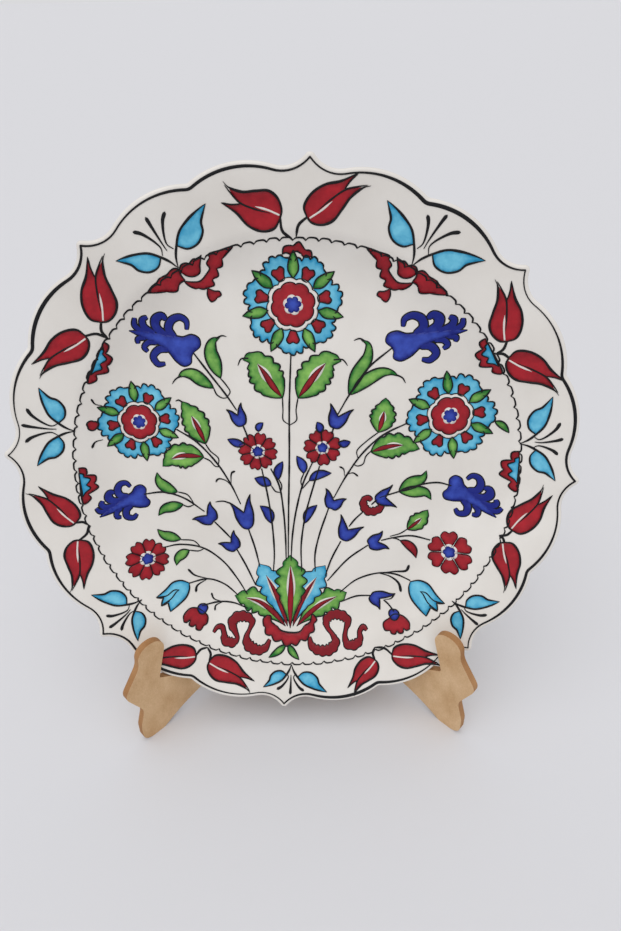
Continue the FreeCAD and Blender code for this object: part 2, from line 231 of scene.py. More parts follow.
class Section:
    """The plate's face, or a surface some depth below it, as height over distance from the axis."""

    def __init__(self, below=0.0):
        drop = (ACROSS / 2 - SHOULDER_AT) * math.tan(FLANGE_SLOPE)
        self.turn_x = SHOULDER_AT + SHOULDER_RADIUS * math.sin(FLANGE_SLOPE)
        self.turn_z = -drop - SHOULDER_RADIUS * math.cos(FLANGE_SLOPE)
        top_x = self.turn_x - SHOULDER_RADIUS * math.sin(WALL_SLOPE)
        top_z = self.turn_z + SHOULDER_RADIUS * math.cos(WALL_SLOPE)
        low_z = -WELL + SWEEP_RADIUS * (1 - math.cos(WALL_SLOPE))
        run = (top_z - low_z) / math.tan(WALL_SLOPE)
        self.sweep_x = top_x - run - SWEEP_RADIUS * math.sin(WALL_SLOPE)
        self.sweep_z = SWEEP_RADIUS - WELL
        self.below = below

    def on_shoulder(self, slope):
        """(distance, height) where the bend between flange and wall has a slope."""
        reach = SHOULDER_RADIUS - self.below
        return self.turn_x - reach * math.sin(slope), self.turn_z + reach * math.cos(slope)

    def on_sweep(self, slope):
        """(distance, height) where the bend between wall and well has a slope."""
        reach = SWEEP_RADIUS + self.below
        return self.sweep_x + reach * math.sin(slope), self.sweep_z - reach * math.cos(slope)

    def at(self, radius):
        """(height, slope) at a distance from the axis."""
        flange_x, flange_z = self.on_shoulder(FLANGE_SLOPE)
        wall_x, wall_z = self.on_shoulder(WALL_SLOPE)
        foot_x = self.on_sweep(WALL_SLOPE)[0]
        if radius >= flange_x:
            return flange_z + (radius - flange_x) * math.tan(FLANGE_SLOPE), FLANGE_SLOPE
        if radius >= wall_x:
            slope = math.asin((self.turn_x - radius) / (SHOULDER_RADIUS - self.below))
            return self.on_shoulder(slope)[1], slope
        if radius >= foot_x:
            return wall_z + (radius - wall_x) * math.tan(WALL_SLOPE), WALL_SLOPE
        if radius >= self.sweep_x:
            slope = math.asin((radius - self.sweep_x) / (SWEEP_RADIUS + self.below))
            return self.on_sweep(slope)[1], slope
        return -WELL - self.below, 0.0

    def profile(self, first, last):
        """(distance, height) points from one distance to another, close together on the bends."""
        spots = [first]
        while spots[-1] < last:
            bend = self.sweep_x < spots[-1] < SHOULDER_AT + 2
            spots.append(min(last, spots[-1] + (BEND_STEP if bend else FLAT_STEP)))
        return [(radius, self.at(radius)[0]) for radius in spots]


FACE = Section()
BACK = Section(WALL)
LEAN_TURN = Matrix.Rotation(math.pi / 2 - LEAN, 3, "X")


def plate_columns():
    """For each point of the rim, the plate's skin from the face's middle to the back's middle."""
    columns = []
    face = FACE.profile(HUB, LOBED_FROM)
    back = BACK.profile(FOOT_OUTER + 1.0, LOBED_FROM)
    ring_in = FOOT_OUTER - FOOT_WIDTH
    base_z = -WELL - WALL
    foot = [(FOOT_OUTER, base_z), (FOOT_OUTER, base_z - 1), (FOOT_OUTER, FOOT_CHAMFER - DEPTH),
            (FOOT_OUTER - FOOT_CHAMFER, -DEPTH), (ring_in + FOOT_CHAMFER, -DEPTH),
            (ring_in, FOOT_CHAMFER - DEPTH), (ring_in, base_z - 1), (ring_in, base_z)]
    under = [(radius, base_z) for radius in (ring_in - 1, 70, 50, 30, 12, HUB)]
    for place, out in rim_outline(LOBE_TURN):
        way = place.normalized()
        column = [(way * radius, height) for radius, height in face]
        face_edge = place - out * LIP_RADIUS * (1 + math.sin(FLANGE_SLOPE))
        back_edge = place - out * LIP_RADIUS * (1 - math.sin(FLANGE_SLOPE))
        for step in range(1, FLANGE_ROWS + 1):
            spot = (way * LOBED_FROM).lerp(face_edge, step / FLANGE_ROWS)
            column.append((spot, FACE.at(spot.length)[0]))
        middle = column[-1][1] - LIP_RADIUS * math.cos(FLANGE_SLOPE)
        for step in range(1, LIP_ROWS + 1):
            angle = (math.pi / 2 + FLANGE_SLOPE) * (1 - step / LIP_ROWS)
            column.append((place - out * LIP_RADIUS * (1 - math.cos(angle)),
                           middle + LIP_RADIUS * math.sin(angle)))
        base = BACK.at(back_edge.length)[0] + LIP_RADIUS * math.cos(FLANGE_SLOPE)
        for step in range(6):
            angle = (math.pi / 2 - FLANGE_SLOPE) * step / 5
            column.append((place - out * LIP_RADIUS * (1 - math.cos(angle)),
                           base - LIP_RADIUS * math.sin(angle)))
        for step in range(1, FLANGE_ROWS):
            spot = back_edge.lerp(way * LOBED_FROM, step / FLANGE_ROWS)
            column.append((spot, BACK.at(spot.length)[0]))
        column += [(way * radius, height) for radius, height in back[::-1] + foot + under]
        columns.append(column)
    return columns


def plate_vertices():
    """The plate's skin about its own middle, standing and leaning back, in metres."""
    return [[LEAN_TURN @ Vector((spot.x, spot.y, height)) * MM for spot, height in column]
            for column in plate_columns()]


PLATE_SKIN = plate_vertices()


def plate_middle():
    """Where the middle of the rim lies, from the frame's plate."""
    lowest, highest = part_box("plate")
    spots = [spot for column in PLATE_SKIN for spot in column]
    own_low = Vector([min(s[i] for s in spots) for i in range(3)])
    own_high = Vector([max(s[i] for s in spots) for i in range(3)])
    return (lowest + highest) / 2 - (own_low + own_high) / 2


MIDDLE = plate_middle()
PAINT_SPIN = Matrix.Rotation(PAINT_TURN, 2)


def on_face(spot, lift):
    """Place on the plate, in metres, of a point of the painting lifted off the glaze."""
    spot = PAINT_SPIN @ spot
    radius = max(spot.length, 0.001)
    height, slope = FACE.at(radius)
    spot = spot * (1 - lift * math.sin(slope) / radius)
    return MIDDLE + LEAN_TURN @ Vector((spot.x, spot.y, height + lift * math.cos(slope))) * MM


# ---------------------------------------------------------------- brushwork

GRAIN = 0.7                     # spacing of points along a brushed line, mm
UNDER = -0.25                   # the films' undersides lie this deep in the glaze, mm
TOP = 6                         # coat of the lines that lie over everything
POOL_WIDTH = 2.0                # paint is darker within this distance of a shape's edge, mm
EDGE_WIDTH = 0.8                # and lower within this one, mm
EDGE_HEIGHT = 0.93              # its height at the edge, as a share
UNEVEN = 0.12                   # how much a brush line's width wavers, as a share
SWELLS_OVER = 0.25              # share of its length over which it grows from its start
THINS_OVER = 0.35               # and over which it thins to its end
TENDRIL_COAT = 3                # coat of the broad marks
TENDRIL_EDGE = 1.1              # black showing beside them, both sides together, mm


def coat():
    """Height of one coat of paint over the last, in millimetres."""
    return bpy.context.scene.plate_sizes.coat / MM


def smooth(points):
    """Points close together on a smooth curve, a centripetal spline, through the given ones."""
    spots = [Vector(p) for p in points]
    run = [2 * spots[0] - spots[1]] + spots + [2 * spots[-1] - spots[-2]]
    made = []
    for before, start, end, after in zip(run, run[1:], run[2:], run[3:]):
        step_in, step, step_out = [max(math.sqrt((q - p).length), 0.01)
                                   for p, q in ((before, start), (start, end), (end, after))]
        leave = end - start + step * ((start - before) / step_in - (end - before) / (step_in + step))
        reach = end - start + step * ((after - end) / step_out - (after - start) / (step + step_out))
        count = max(2, round((end - start).length / GRAIN))
        for number in range(count):
            t = number / count
            made.append(start + leave * t + (3 * (end - start) - 2 * leave - reach) * t * t
                        + (leave + reach - 2 * (end - start)) * t ** 3)
    return made + [spots[-1]]


def spanned(spans):
    """A closed outline of smooth spans; each begins at its first point, which is a corner."""
    made = []
    for number, span in enumerate(spans):
        after = spans[(number + 1) % len(spans)][0]
        made += smooth(list(span) + [after])[:-1]
    return made


def placed(points, base, tip, side=1):
    """Points drawn along a unit line from (0, 0) to (1, 0), moved to lie from base to tip.

    side is -1 for the mirror image. Other values make the shape fuller or narrower.
    """
    base = Vector(base)
    along = Vector(tip) - base
    across = Vector((-along.y, along.x))
    return [base + along * p[0] + across * (p[1] * side) for p in points]


def grid_inside(outline, spacing):
    """Points on a grid inside an outline, with each one's distance from the outline."""
    ring = np.array([p[:] for p in outline])
    following = np.roll(ring, -1, axis=0)
    low, high = ring.min(0), ring.max(0)
    xs = np.arange(low[0] + spacing / 2, high[0], spacing)
    ys = np.arange(low[1] + spacing / 2, high[1], spacing * 0.87)
    if not len(xs) or not len(ys):
        return np.zeros((0, 2)), np.zeros(0)
    gx, gy = np.meshgrid(xs, ys)
    gx = gx + (np.arange(len(ys)) % 2)[:, None] * spacing / 2
    spots = np.stack([gx.ravel(), gy.ravel()], 1)
    x, y = spots[:, :1], spots[:, 1:]
    spans_y = (ring[:, 1] > y) != (following[:, 1] > y)
    climb = np.where(following[:, 1] == ring[:, 1], 1e-9, following[:, 1] - ring[:, 1])
    slope = (following[:, 0] - ring[:, 0]) / climb
    inside = (spans_y & (x < ring[:, 0] + (y - ring[:, 1]) * slope)).sum(1) % 2 == 1
    spots = spots[inside]
    if not len(spots):
        return spots, np.zeros(0)
    side = following - ring
    square = np.maximum((side ** 2).sum(1), 1e-9)
    share = (((spots[:, None] - ring) * side).sum(2) / square).clip(0, 1)
    near = np.sqrt(((spots[:, None] - ring - share[..., None] * side) ** 2).sum(2)).min(1)
    keep = near > spacing * 0.35
    return spots[keep], near[keep]


def add_film(bm, outline, level):
    """A closed film of paint within an outline. Its attribute pool is 0 at the edge, 1 inside."""
    pool = bm.verts.layers.float.get("pool") or bm.verts.layers.float.new("pool")
    ring = np.array([p[:] for p in outline])
    extent = (ring.max(0) - ring.min(0)).min()
    inner, near = grid_inside(outline, max(0.8, min(1.7, extent / 6)))
    spots = [Vector(p) for p in outline] + [Vector(p) for p in inner]
    depths = [0.0] * len(outline) + list(near)
    made = delaunay_2d_cdt(spots, [], [list(range(len(outline)))], 1, 1e-4)
    tops, unders = [], []
    for spot, sources in zip(made[0], made[3]):
        depth = max((depths[s] for s in sources), default=0.0)
        rise = coat() * (1 + level) * (EDGE_HEIGHT + (1 - EDGE_HEIGHT) * min(1.0, depth / EDGE_WIDTH))
        tops.append(bm.verts.new(on_face(spot, rise)))
        tops[-1][pool] = min(1.0, depth / POOL_WIDTH)
        unders.append(bm.verts.new(on_face(spot, UNDER)))
    sides = set()
    for a, b, c in made[2]:
        if (made[0][b] - made[0][a]).cross(made[0][c] - made[0][a]) < 0:
            b, c = c, b
        bm.faces.new((tops[a], tops[b], tops[c])).smooth = True
        bm.faces.new((unders[a], unders[c], unders[b])).smooth = True
        sides ^= {(a, b), (b, c), (c, a)}
    for start, end in sorted(sides):
        if (end, start) not in sides:
            bm.faces.new((tops[start], unders[start], unders[end], tops[end]))


RIBBON = ((-0.5, 0.2), (-0.38, 0.8), (0.0, 1.0), (0.38, 0.8), (0.5, 0.2))


def add_line(bm, spots, widths, level, closed):
    """A domed brush line along close points, with a width at each."""
    rings = []
    count = len(spots)
    for number, (spot, width) in enumerate(zip(spots, widths)):
        before = spots[number - 1] if number or closed else spot
        after = spots[(number + 1) % count] if number < count - 1 or closed else spot
        way = after - before
        way = way.normalized() if way.length > 1e-6 else Vector((1, 0))
        side = Vector((-way.y, way.x)) * width
        crown = coat() * (1 + level)
        ring = [bm.verts.new(on_face(spot + side * x, crown * z)) for x, z in RIBBON]
        ring += [bm.verts.new(on_face(spot + side * 0.5, UNDER)),
                 bm.verts.new(on_face(spot - side * 0.5, UNDER))]
        rings.append(ring)
    last = len(RIBBON)
    pairs = list(zip(rings, rings[1:])) + ([(rings[-1], rings[0])] if closed else [])
    for one, two in pairs:
        for k in range(len(one)):
            j = (k + 1) % len(one)
            bm.faces.new((one[k], two[k], two[j], one[j])).smooth = k < last - 1
    if not closed:
        bm.faces.new(rings[0])
        bm.faces.new(rings[-1][::-1])


def brush(count, width, start=0.35, end=0.35, closed=False):
    """Widths along a line: tapered at its ends and a little uneven, as a brush leaves them.

    start and end are the widths that it tapers to, as shares.
    """
    made = []
    for number in range(count):
        t = number / max(1, count - 1)
        uneven = 1 + UNEVEN * math.sin(number * 0.37 + width * 9) * math.sin(number * 0.11 + 1)
        if not closed:
            rise = min(1.0, t / SWELLS_OVER)
            fall = min(1.0, (1 - t) / THINS_OVER)
            uneven *= start + (1 - start) * math.sin(rise * math.pi / 2)
            uneven *= end + (1 - end) * math.sin(fall * math.pi / 2)
        made.append(width * uneven)
    return made


class Painting:
    """Shapes painted on the plate, kept by colour until they are made into pieces."""

    def __init__(self):
        self.films = {}
        self.lines = {}

    def fill(self, colour, outline, level, edge):
        """A film of colour; where edge isn't 0, a black line of that width follows its outline."""
        self.films.setdefault(colour, []).append((outline, level))
        if edge:
            self.trail(outline, brush(len(outline), edge, closed=True), "black", TOP, True)

    def shape(self, colour, spans, level=1, edge=0.0, edge_level=TOP):
        """A film whose outline is smooth between corners, edged by one brush line per span."""
        self.films.setdefault(colour, []).append((spanned(spans), level))
        if edge:
            for number, span in enumerate(spans):
                after = spans[(number + 1) % len(spans)][0]
                self.line(list(span) + [after], edge, level=edge_level)

    def line(self, points, width, start=0.45, end=0.45, colour="black", level=TOP):
        """A brush line through points, tapered to its ends."""
        spots = smooth(points)
        self.trail(spots, brush(len(spots), width, start, end), colour, level)

    def trail(self, spots, widths, colour, level, closed=False):
        """A line along close points, as wide at each as its width says."""
        self.lines.setdefault(colour, []).append((spots, widths, level, closed))

    def tendril(self, points, colour, scallop=0.0):
        """A broad mark whose control points are (x, y, width), with a black edge showing beside it.

        scallop is the length of each round bump along its sides, or 0 for plain sides.
        """
        spots = smooth(points)
        ends = [0.0]
        for before, after in zip(spots, spots[1:]):
            ends.append(ends[-1] + (after.xy - before.xy).length)
        widths = []
        for spot, gone in zip(spots, ends):
            share = min(1.0, (min(gone, ends[-1] - gone) + 0.2) / (spot.z / 2))
            bump = 0.8 + 0.34 * abs(math.sin(math.pi * gone / scallop)) if scallop and spot.z > 3 else 1.0
            widths.append(spot.z * math.sqrt(1 - (1 - share) ** 2) * bump)
        flat = [spot.xy for spot in spots]
        self.trail(flat, widths, colour, TENDRIL_COAT)
        self.trail(flat, [width + TENDRIL_EDGE for width in widths], "black", 1)

    def comma(self, points, width):
        """A brush mark with a round head at its first point that thins to its last."""
        spots = smooth(points)
        count = len(spots)
        widths = []
        for number in range(count):
            t = number / (count - 1)
            head = math.sqrt(max(0.0, 1 - (1 - min(1.0, t / 0.12)) ** 2))
            widths.append(width * (0.15 + 0.85 * head) * (1 - 0.8 * t ** 0.8))
        self.trail(spots, widths, "black", TOP)

    def pieces(self, name):
        """One piece for each colour."""
        for colour in sorted(set(self.films) | set(self.lines)):
            def make(bm, colour=colour):
                for outline, level in self.films.get(colour, []):
                    add_film(bm, outline, level)
                for spots, widths, level, closed in self.lines.get(colour, []):
                    add_line(bm, spots, widths, level, closed)
            piece_from(name + "_" + colour, make, [paint_material(colour)], "plate")


# ---------------------------------------------------------------- motifs

def tulip(painting, root, base, tip, side):
    """A tulip seen from the side: two pointed petals, one of them with a long whisker."""
    def here(points):
        return placed(points, base, tip, side)

    body = [[(0, 0), (0.05, 0.16), (0.26, 0.26), (0.53, 0.25), (0.78, 0.145)],
            [(1.1, 0.08), (0.94, 0.06)],
            [(0.78, 0.01), (0.9, -0.06)],
            [(1.02, -0.13), (0.79, -0.16), (0.57, -0.235), (0.34, -0.3), (0.15, -0.25), (0.02, -0.12)]]
    placed_body = [here(span) for span in body]
    painting.shape("red", placed_body)
    painting.line(placed_body[0] + placed_body[1][:1], 1.2, 0.6, 0.2)
    painting.line(placed_body[1] + placed_body[2][:1], 0.8, 0.2, 0.8)
    painting.line(here([(1.16, -0.2), (1.05, -0.155), (0.79, -0.16), (0.57, -0.235), (0.34, -0.3),
                        (0.15, -0.25), (0.02, -0.12), (0, 0)]), 1.2, 0.15, 0.7)
    fold = here([(1.12, -0.16), (0.98, -0.09), (0.78, -0.01), (0.5, 0.0), (0.2, -0.02)])
    painting.line(fold, 0.9, 0.2, 0.2)
    painting.line(here([(0.03, -0.04), (0.25, -0.05), (0.5, -0.035)]), 1.0, 0.8, 0.15, "white", 5)
    middle = Vector(root).lerp(Vector(base), 0.5)
    bend = (Vector(base) - Vector(root)).orthogonal() * 0.16 * side
    painting.line([root, middle + bend, base], 1.3, 0.5, 0.9)


def rim_leaf(painting, root, tip, side):
    """A pointed leaf on a bent stem; its outer side is one line with the stem."""
    def here(points):
        return placed(points, root, tip, side)

    outer = here([(0.28, 0.14), (0.48, 0.18), (0.70, 0.135), (0.91, 0.05)])
    inner = here([(1.0, 0.0), (0.88, -0.015), (0.75, -0.04), (0.64, -0.115), (0.46, -0.12), (0.32, -0.02)])
    painting.shape("turquoise", [outer, inner])
    painting.line(here([(0, 0), (0.13, 0.085)]) + outer + inner[:1], 1.2, 0.35, 0.2)
    painting.line(inner + outer[:1], 1.1, 0.2, 0.5)


def carried(points, home, away, side=1):
    """Points drawn about the line home, moved, turned and scaled to lie about the line away."""
    along = Vector(home[1]) - Vector(home[0])
    across = Vector((-along.y, along.x))
    arms = [(Vector(p[:2]) - Vector(home[0])) / along.length_squared for p in points]
    return placed([(arm.dot(along), arm.dot(across)) for arm in arms], *away, side)


def beside(spots, halves):
    """The two sides of a shape whose middle line and half widths are given."""
    left, right = [], []
    for number, (spot, half) in enumerate(zip(spots, halves)):
        way = spots[min(number + 1, len(spots) - 1)] - spots[max(number - 1, 0)]
        side = Vector((-way.y, way.x)).normalized() * half
        left.append(spot + side)
        right.append(spot - side)
    return left, right


def leaf(painting, spine, width, colour="green", belly=0.42, level=2, edge=0.9, edge_level=TOP, teeth=0):
    """A leaf along its spine, broadest at belly; teeth is the number of rounded teeth a side."""
    spots = smooth(spine)
    halves = []
    for number in range(len(spots)):
        t = number / (len(spots) - 1)
        if t < belly:
            full = math.sin(math.pi / 2 * t / belly) ** (0.8 + max(0.0, belly - 0.45) * 2.4)
        else:
            full = math.cos(math.pi / 2 * (t - belly) / (1 - belly)) ** 0.95
        deep = (0.36 if belly > 0.6 else 0.22) * min(1.0, max(0.0, t / belly - 0.3) * 1.6)
        tooth = 1 - deep * (1 - abs(math.sin(math.pi * teeth * t))) if teeth else 1.0
        halves.append(max(0.02, width / 2 * full * tooth))
    left, right = beside(spots, halves)
    painting.films.setdefault(colour, []).append((left + right[-2:0:-1], level))
    if edge:
        for side in (left, right):
            painting.trail(side, brush(len(side), edge, 0.5, 0.3), "black", edge_level)


def ribbed_leaf(painting, spine, width, teeth, rib_end, colour="green", belly=0.45, level=2, edge_level=TOP):
    """A toothed leaf with a red rib that has a white line along one side."""
    leaf(painting, spine, width, colour, belly, level, 0.9, edge_level, teeth)
    spots = smooth(spine)
    shares = (0.02, rib_end * 0.4, rib_end * 0.75, rib_end * 1.08)
    rib = [spots[round(share * (len(spots) - 1))] for share in shares]
    leaf(painting, rib, width * 0.17, "red", 0.4, level + 1.6, 0.4, max(edge_level, level + 2))
    leaf(painting, rib[1:], width * 0.27, "white", 0.45, level + 0.8, 0)


def bud(painting, base, tips, width):
    """A cobalt bud that opens into two pointed petals whose tips bend outward."""
    base = Vector(base)
    one, two = [Vector(tip) - base for tip in tips]
    if one.cross(two) > 0:
        one, two = two, one
    out_one = Vector((-one.y, one.x)).normalized() * width
    out_two = Vector((two.y, -two.x)).normalized() * width
    spans = [[base, base + one * 0.12 + out_one * 0.28, base + one * 0.45 + out_one * 0.3,
              base + one * 0.8 + out_one * 0.02],
             [base + one, base + one * 0.78 - out_one * 0.22],
             [base + (one + two) * 0.27, base + two * 0.78 - out_two * 0.22],
             [base + two, base + two * 0.8 + out_two * 0.02, base + two * 0.45 + out_two * 0.3,
              base + two * 0.12 + out_two * 0.28]]
    painting.shape("cobalt", spans, 3, 1.0)


def small_flower(painting, centre, radius, count, start):
    """A red flower of notched petals round a white and cobalt middle."""
    centre = Vector(centre)
    for number in range(count):
        angle = start + 2 * math.pi * number / count
        half = math.sin(math.pi / count)
        petal = [[(0.0, 0.08), (0.35, half * 0.62), (0.72, half * 0.94), (0.97, half * 0.5)],
                 [(0.86, 0.0), (0.97, -half * 0.5), (0.72, -half * 0.94), (0.35, -half * 0.62)],
                 [(0.0, -0.08)]]
        away = (centre + polar(radius * 0.2, angle), centre + polar(radius, angle))
        painting.shape("red", [placed(span, *away) for span in petal], 2, 0.45)
    painting.fill("white", lobed(centre, radius * 0.38, 0.2, 6, start, 60), 4, 0)
    painting.fill("cobalt", lobed(centre, radius * 0.28, 0.25, 5, start + 0.3, 60), 5, 0)


# In these tables an outline is a list of spans. Each span is smooth, begins at a corner and runs on
# to the first point of the next span.

HYACINTH_LINE = ((-53, 57.5), (-84, 68.5))
HYACINTH_BODY = (
    [(-52.5, 57.5), (-49.5, 60.5), (-49.8, 64.2), (-53.5, 66), (-58, 64.8), (-62.5, 65.5), (-69, 66.5),
     (-77, 68)],
    [(-84, 68.5), (-77.5, 64.5), (-71, 61.5), (-66, 58), (-62, 52.8), (-58, 50.2), (-54.6, 51.6),
     (-54, 55.2)])
HYACINTH_CURLS = (
    [(-62, 64, 3.5), (-65, 69, 3.8), (-63.3, 73.3, 3.6), (-59, 75, 3), (-55.8, 72.8, 2.4),
     (-55.8, 68.6, 1.4)],
    [(-66, 65, 3.5), (-71, 70, 4), (-70.8, 74, 4.2), (-67.8, 75.8, 3.2), (-65.8, 73.6, 1.8)],
    [(-72, 66, 3.5), (-77, 70.5, 3.2), (-77, 74, 2.6), (-74.6, 75.2, 1.6)],
    [(-77, 67, 2.6), (-81, 71, 2.4), (-80.6, 75, 1.4)],
    [(-65, 59, 3.5), (-70.5, 58.5, 3.6), (-73.6, 54.8, 3.2), (-71.5, 51, 2.6), (-67.6, 51.2, 1.3)],
    [(-71, 62.5, 3), (-75.6, 62.2, 2.6), (-77.8, 59.6, 2.2), (-76.2, 57.4, 1.4)],
    [(-76, 65, 2.8), (-80.5, 64, 2.2), (-80.6, 61.6, 1.4)])


def hyacinth(painting, base, tip, side, curls=7):
    """A hyacinth: a two-lobed bulb, and a body that throws curls to both sides."""
    away = (base, tip)
    scale = (Vector(tip) - Vector(base)).length / (Vector(HYACINTH_LINE[1]) - Vector(HYACINTH_LINE[0])).length
    painting.shape("cobalt", [carried(span, HYACINTH_LINE, away, side) for span in HYACINTH_BODY], 3, 1.5, 1)
    scale *= 1.0 if curls > 6 else 1.15
    for curl in HYACINTH_CURLS[:curls]:
        spots = carried(curl, HYACINTH_LINE, away, side)
        painting.tendril([(spot.x, spot.y, mark[2] * scale) for spot, mark in zip(spots, curl)], "cobalt")


def lobed(centre, radius, depth, count, start, around=140):
    """A flower's outline: round lobes with sharp hollows between them."""
    made = []
    for number in range(around):
        angle = 2 * math.pi * number / around
        swell = abs(math.cos(count * (angle - start) / 2)) ** 0.55
        made.append(Vector(centre) + polar(radius * (1 - depth + depth * swell), angle))
    return made


HEART = (
    [(0, 0.22), (0.4, 0.36), (0.75, 0.5), (1.0, 0.3)],
    [(0.9, 0.0), (1.0, -0.3), (0.75, -0.5), (0.4, -0.36)], [(0, -0.22)])
BLADE = ([(0, 0), (0.3, 0.19), (0.7, 0.14)], [(1, 0), (0.7, -0.14), (0.3, -0.19)])


def rosette(painting, centre, radius, start, count):
    """A round flower: scalloped petals with hearts, leaves between, and a lobed middle."""
    pitch = 2 * math.pi / count
    edge = pitch * 0.46
    scallops = 5
    centre = Vector(centre)

    def at(share, angle):
        return centre + polar(radius * share, angle)

    for number in range(count):
        middle = start + (number + 0.5) * pitch
        rim = []
        for bump in range(scallops):
            low = middle - edge + 2 * edge * bump / scallops
            wide = 2 * edge / scallops
            reach = 0.82 + 0.12 * math.sin(math.pi * (bump + 0.2) / (scallops - 0.6))
            rim.append([at(reach, low), at(reach + 0.045, low + wide * 0.25),
                        at(reach + 0.055, low + wide * 0.7)])
        side = [[at(0.82, middle + edge), at(0.7, middle + edge * 0.92)],
                [at(0.45, middle + edge), at(0.45, middle)],
                [at(0.45, middle - edge), at(0.7, middle - edge * 0.92)]]
        painting.shape("turquoise", rim + side)
        for span, after in zip(rim, rim[1:] + side):
            painting.line(span + after[:1], 0.035 * radius, 0.5, 0.5)
        painting.shape("red", [placed(span, at(0.5, middle), at(0.76, middle)) for span in HEART], 2, 0.8)
        between = start + number * pitch
        painting.shape("green", [placed(span, at(0.5, between), at(1.03, between)) for span in BLADE], 3, 0.9)
    lobes = start + pitch * 0.3
    painting.fill("white", lobed(centre, radius * 0.53, 0.12, count + 1, lobes), 3, 0.6)
    painting.fill("red", lobed(centre, radius * 0.44, 0.13, count + 1, lobes), 4, 0.7)
    painting.fill("white", lobed(centre, radius * 0.2, 0.2, 6, lobes), 5, 0)
    painting.fill("cobalt", lobed(centre, radius * 0.165, 0.3, 6, lobes + 0.4), 6, 0)


# ---------------------------------------------------------------- materials

def add_node(tree, kind, settings=None, links=None):
    """A node of a kind, with socket values or attributes set and its inputs linked."""
    node = tree.nodes.new(kind)
    for key, value in (settings or {}).items():
        if isinstance(key, str) and hasattr(node, key):
            setattr(node, key, value)
        else:
            node.inputs[key].default_value = value
    for key, source in (links or {}).items():
        tree.links.new(source, node.inputs[key])
    return node


def new_material(name):
    """An empty node material, its tree and its output."""
    material = bpy.data.materials.new(name)
    material.use_nodes = True
    tree = material.node_tree
    tree.nodes.clear()
    return material, tree, tree.nodes.new("ShaderNodeOutputMaterial")


def glaze_bump(tree):
    """The long soft waves of a dipped glaze, the same in every glazed colour."""
    spot = add_node(tree, "ShaderNodeTexCoord")
    waves = add_node(tree, "ShaderNodeTexNoise", {"Scale": 1 / (28 * MM), "Detail": 2.0},
                     {"Vector": spot.outputs["Object"]})
    return add_node(tree, "ShaderNodeBump", {"Strength": 0.25, "Distance": 0.5 * MM},
                    {"Height": waves.outputs["Fac"]})


def paint_material(colour):
    """Underglaze colour under clear glaze: brushed thin, so it is darker where it pooled."""
    name = "Underglaze " + colour + ", brushed under clear glaze"
    found = bpy.data.materials.get(name)
    if found:
        return found
    colours = bpy.context.scene.plate_colours
    material, tree, output = new_material(name)
    spot = add_node(tree, "ShaderNodeTexCoord")
    wash = add_node(tree, "ShaderNodeTexNoise", {"Scale": 1 / (7 * MM), "Detail": 3.0, "Roughness": 0.6},
                    {"Vector": spot.outputs["Object"]})
    pool = add_node(tree, "ShaderNodeAttribute", {"attribute_name": "pool"})
    thin = add_node(tree, "ShaderNodeMath", {"operation": "MULTIPLY_ADD", 1: 0.45, 2: -0.35},
                    {0: pool.outputs["Fac"]})
    mixed = add_node(tree, "ShaderNodeMath", {"operation": "ADD"},
                     {0: thin.outputs[0], 1: wash.outputs["Fac"]})
    ramp = add_node(tree, "ShaderNodeValToRGB", {}, {"Fac": mixed.outputs[0]})
    ramp.color_ramp.elements[0].position = 0.2
    ramp.color_ramp.elements[0].color = getattr(colours, colour + "_pooled")
    ramp.color_ramp.elements[1].position = 0.85
    ramp.color_ramp.elements[1].color = getattr(colours, colour + "_thin")
    shader = add_node(tree, "ShaderNodeBsdfPrincipled",
                      {"Roughness": 0.2, "IOR": 1.5, "Specular IOR Level": 0.22},
                      {"Base Color": ramp.outputs["Color"], "Normal": glaze_bump(tree).outputs["Normal"]})
    tree.links.new(shader.outputs[0], output.inputs["Surface"])
    return material


def white_glaze():
    """Tin-white earthenware glaze: warm white, glossy, with faint clouds."""
    colours = bpy.context.scene.plate_colours
    material, tree, output = new_material("Earthenware, white glaze, dipped and fired")
    spot = add_node(tree, "ShaderNodeTexCoord")
    clouds = add_node(tree, "ShaderNodeTexNoise", {"Scale": 1 / (45 * MM), "Detail": 4.0},
                      {"Vector": spot.outputs["Object"]})
    ramp = add_node(tree, "ShaderNodeValToRGB", {}, {"Fac": clouds.outputs["Fac"]})
    ramp.color_ramp.elements[0].position = 0.3
    ramp.color_ramp.elements[0].color = colours.glaze_shade
    ramp.color_ramp.elements[1].position = 0.7
    ramp.color_ramp.elements[1].color = colours.glaze
    shader = add_node(tree, "ShaderNodeBsdfPrincipled",
                      {"Roughness": 0.18, "IOR": 1.5, "Specular IOR Level": 0.4},
                      {"Base Color": ramp.outputs["Color"], "Normal": glaze_bump(tree).outputs["Normal"]})
    tree.links.new(shader.outputs[0], output.inputs["Surface"])
    return material


def bare_clay():
    """Unglazed earthenware on the foot ring: matt, cream, a little gritty."""
    material, tree, output = new_material("Earthenware, bisque fired, unglazed")
    spot = add_node(tree, "ShaderNodeTexCoord")
    grit = add_node(tree, "ShaderNodeTexNoise", {"Scale": 1 / (1.2 * MM), "Detail": 3.0},
                    {"Vector": spot.outputs["Object"]})
    ramp = add_node(tree, "ShaderNodeValToRGB", {}, {"Fac": grit.outputs["Fac"]})
    ramp.color_ramp.elements[0].color = linear("#CDBBA4")
    ramp.color_ramp.elements[1].color = linear("#E6DAC8")
    bump = add_node(tree, "ShaderNodeBump", {"Strength": 0.4, "Distance": 0.1 * MM},
                    {"Height": grit.outputs["Fac"]})
    shader = add_node(tree, "ShaderNodeBsdfPrincipled", {"Roughness": 0.85},
                      {"Base Color": ramp.outputs["Color"], "Normal": bump.outputs["Normal"]})
    tree.links.new(shader.outputs[0], output.inputs["Surface"])
    return material


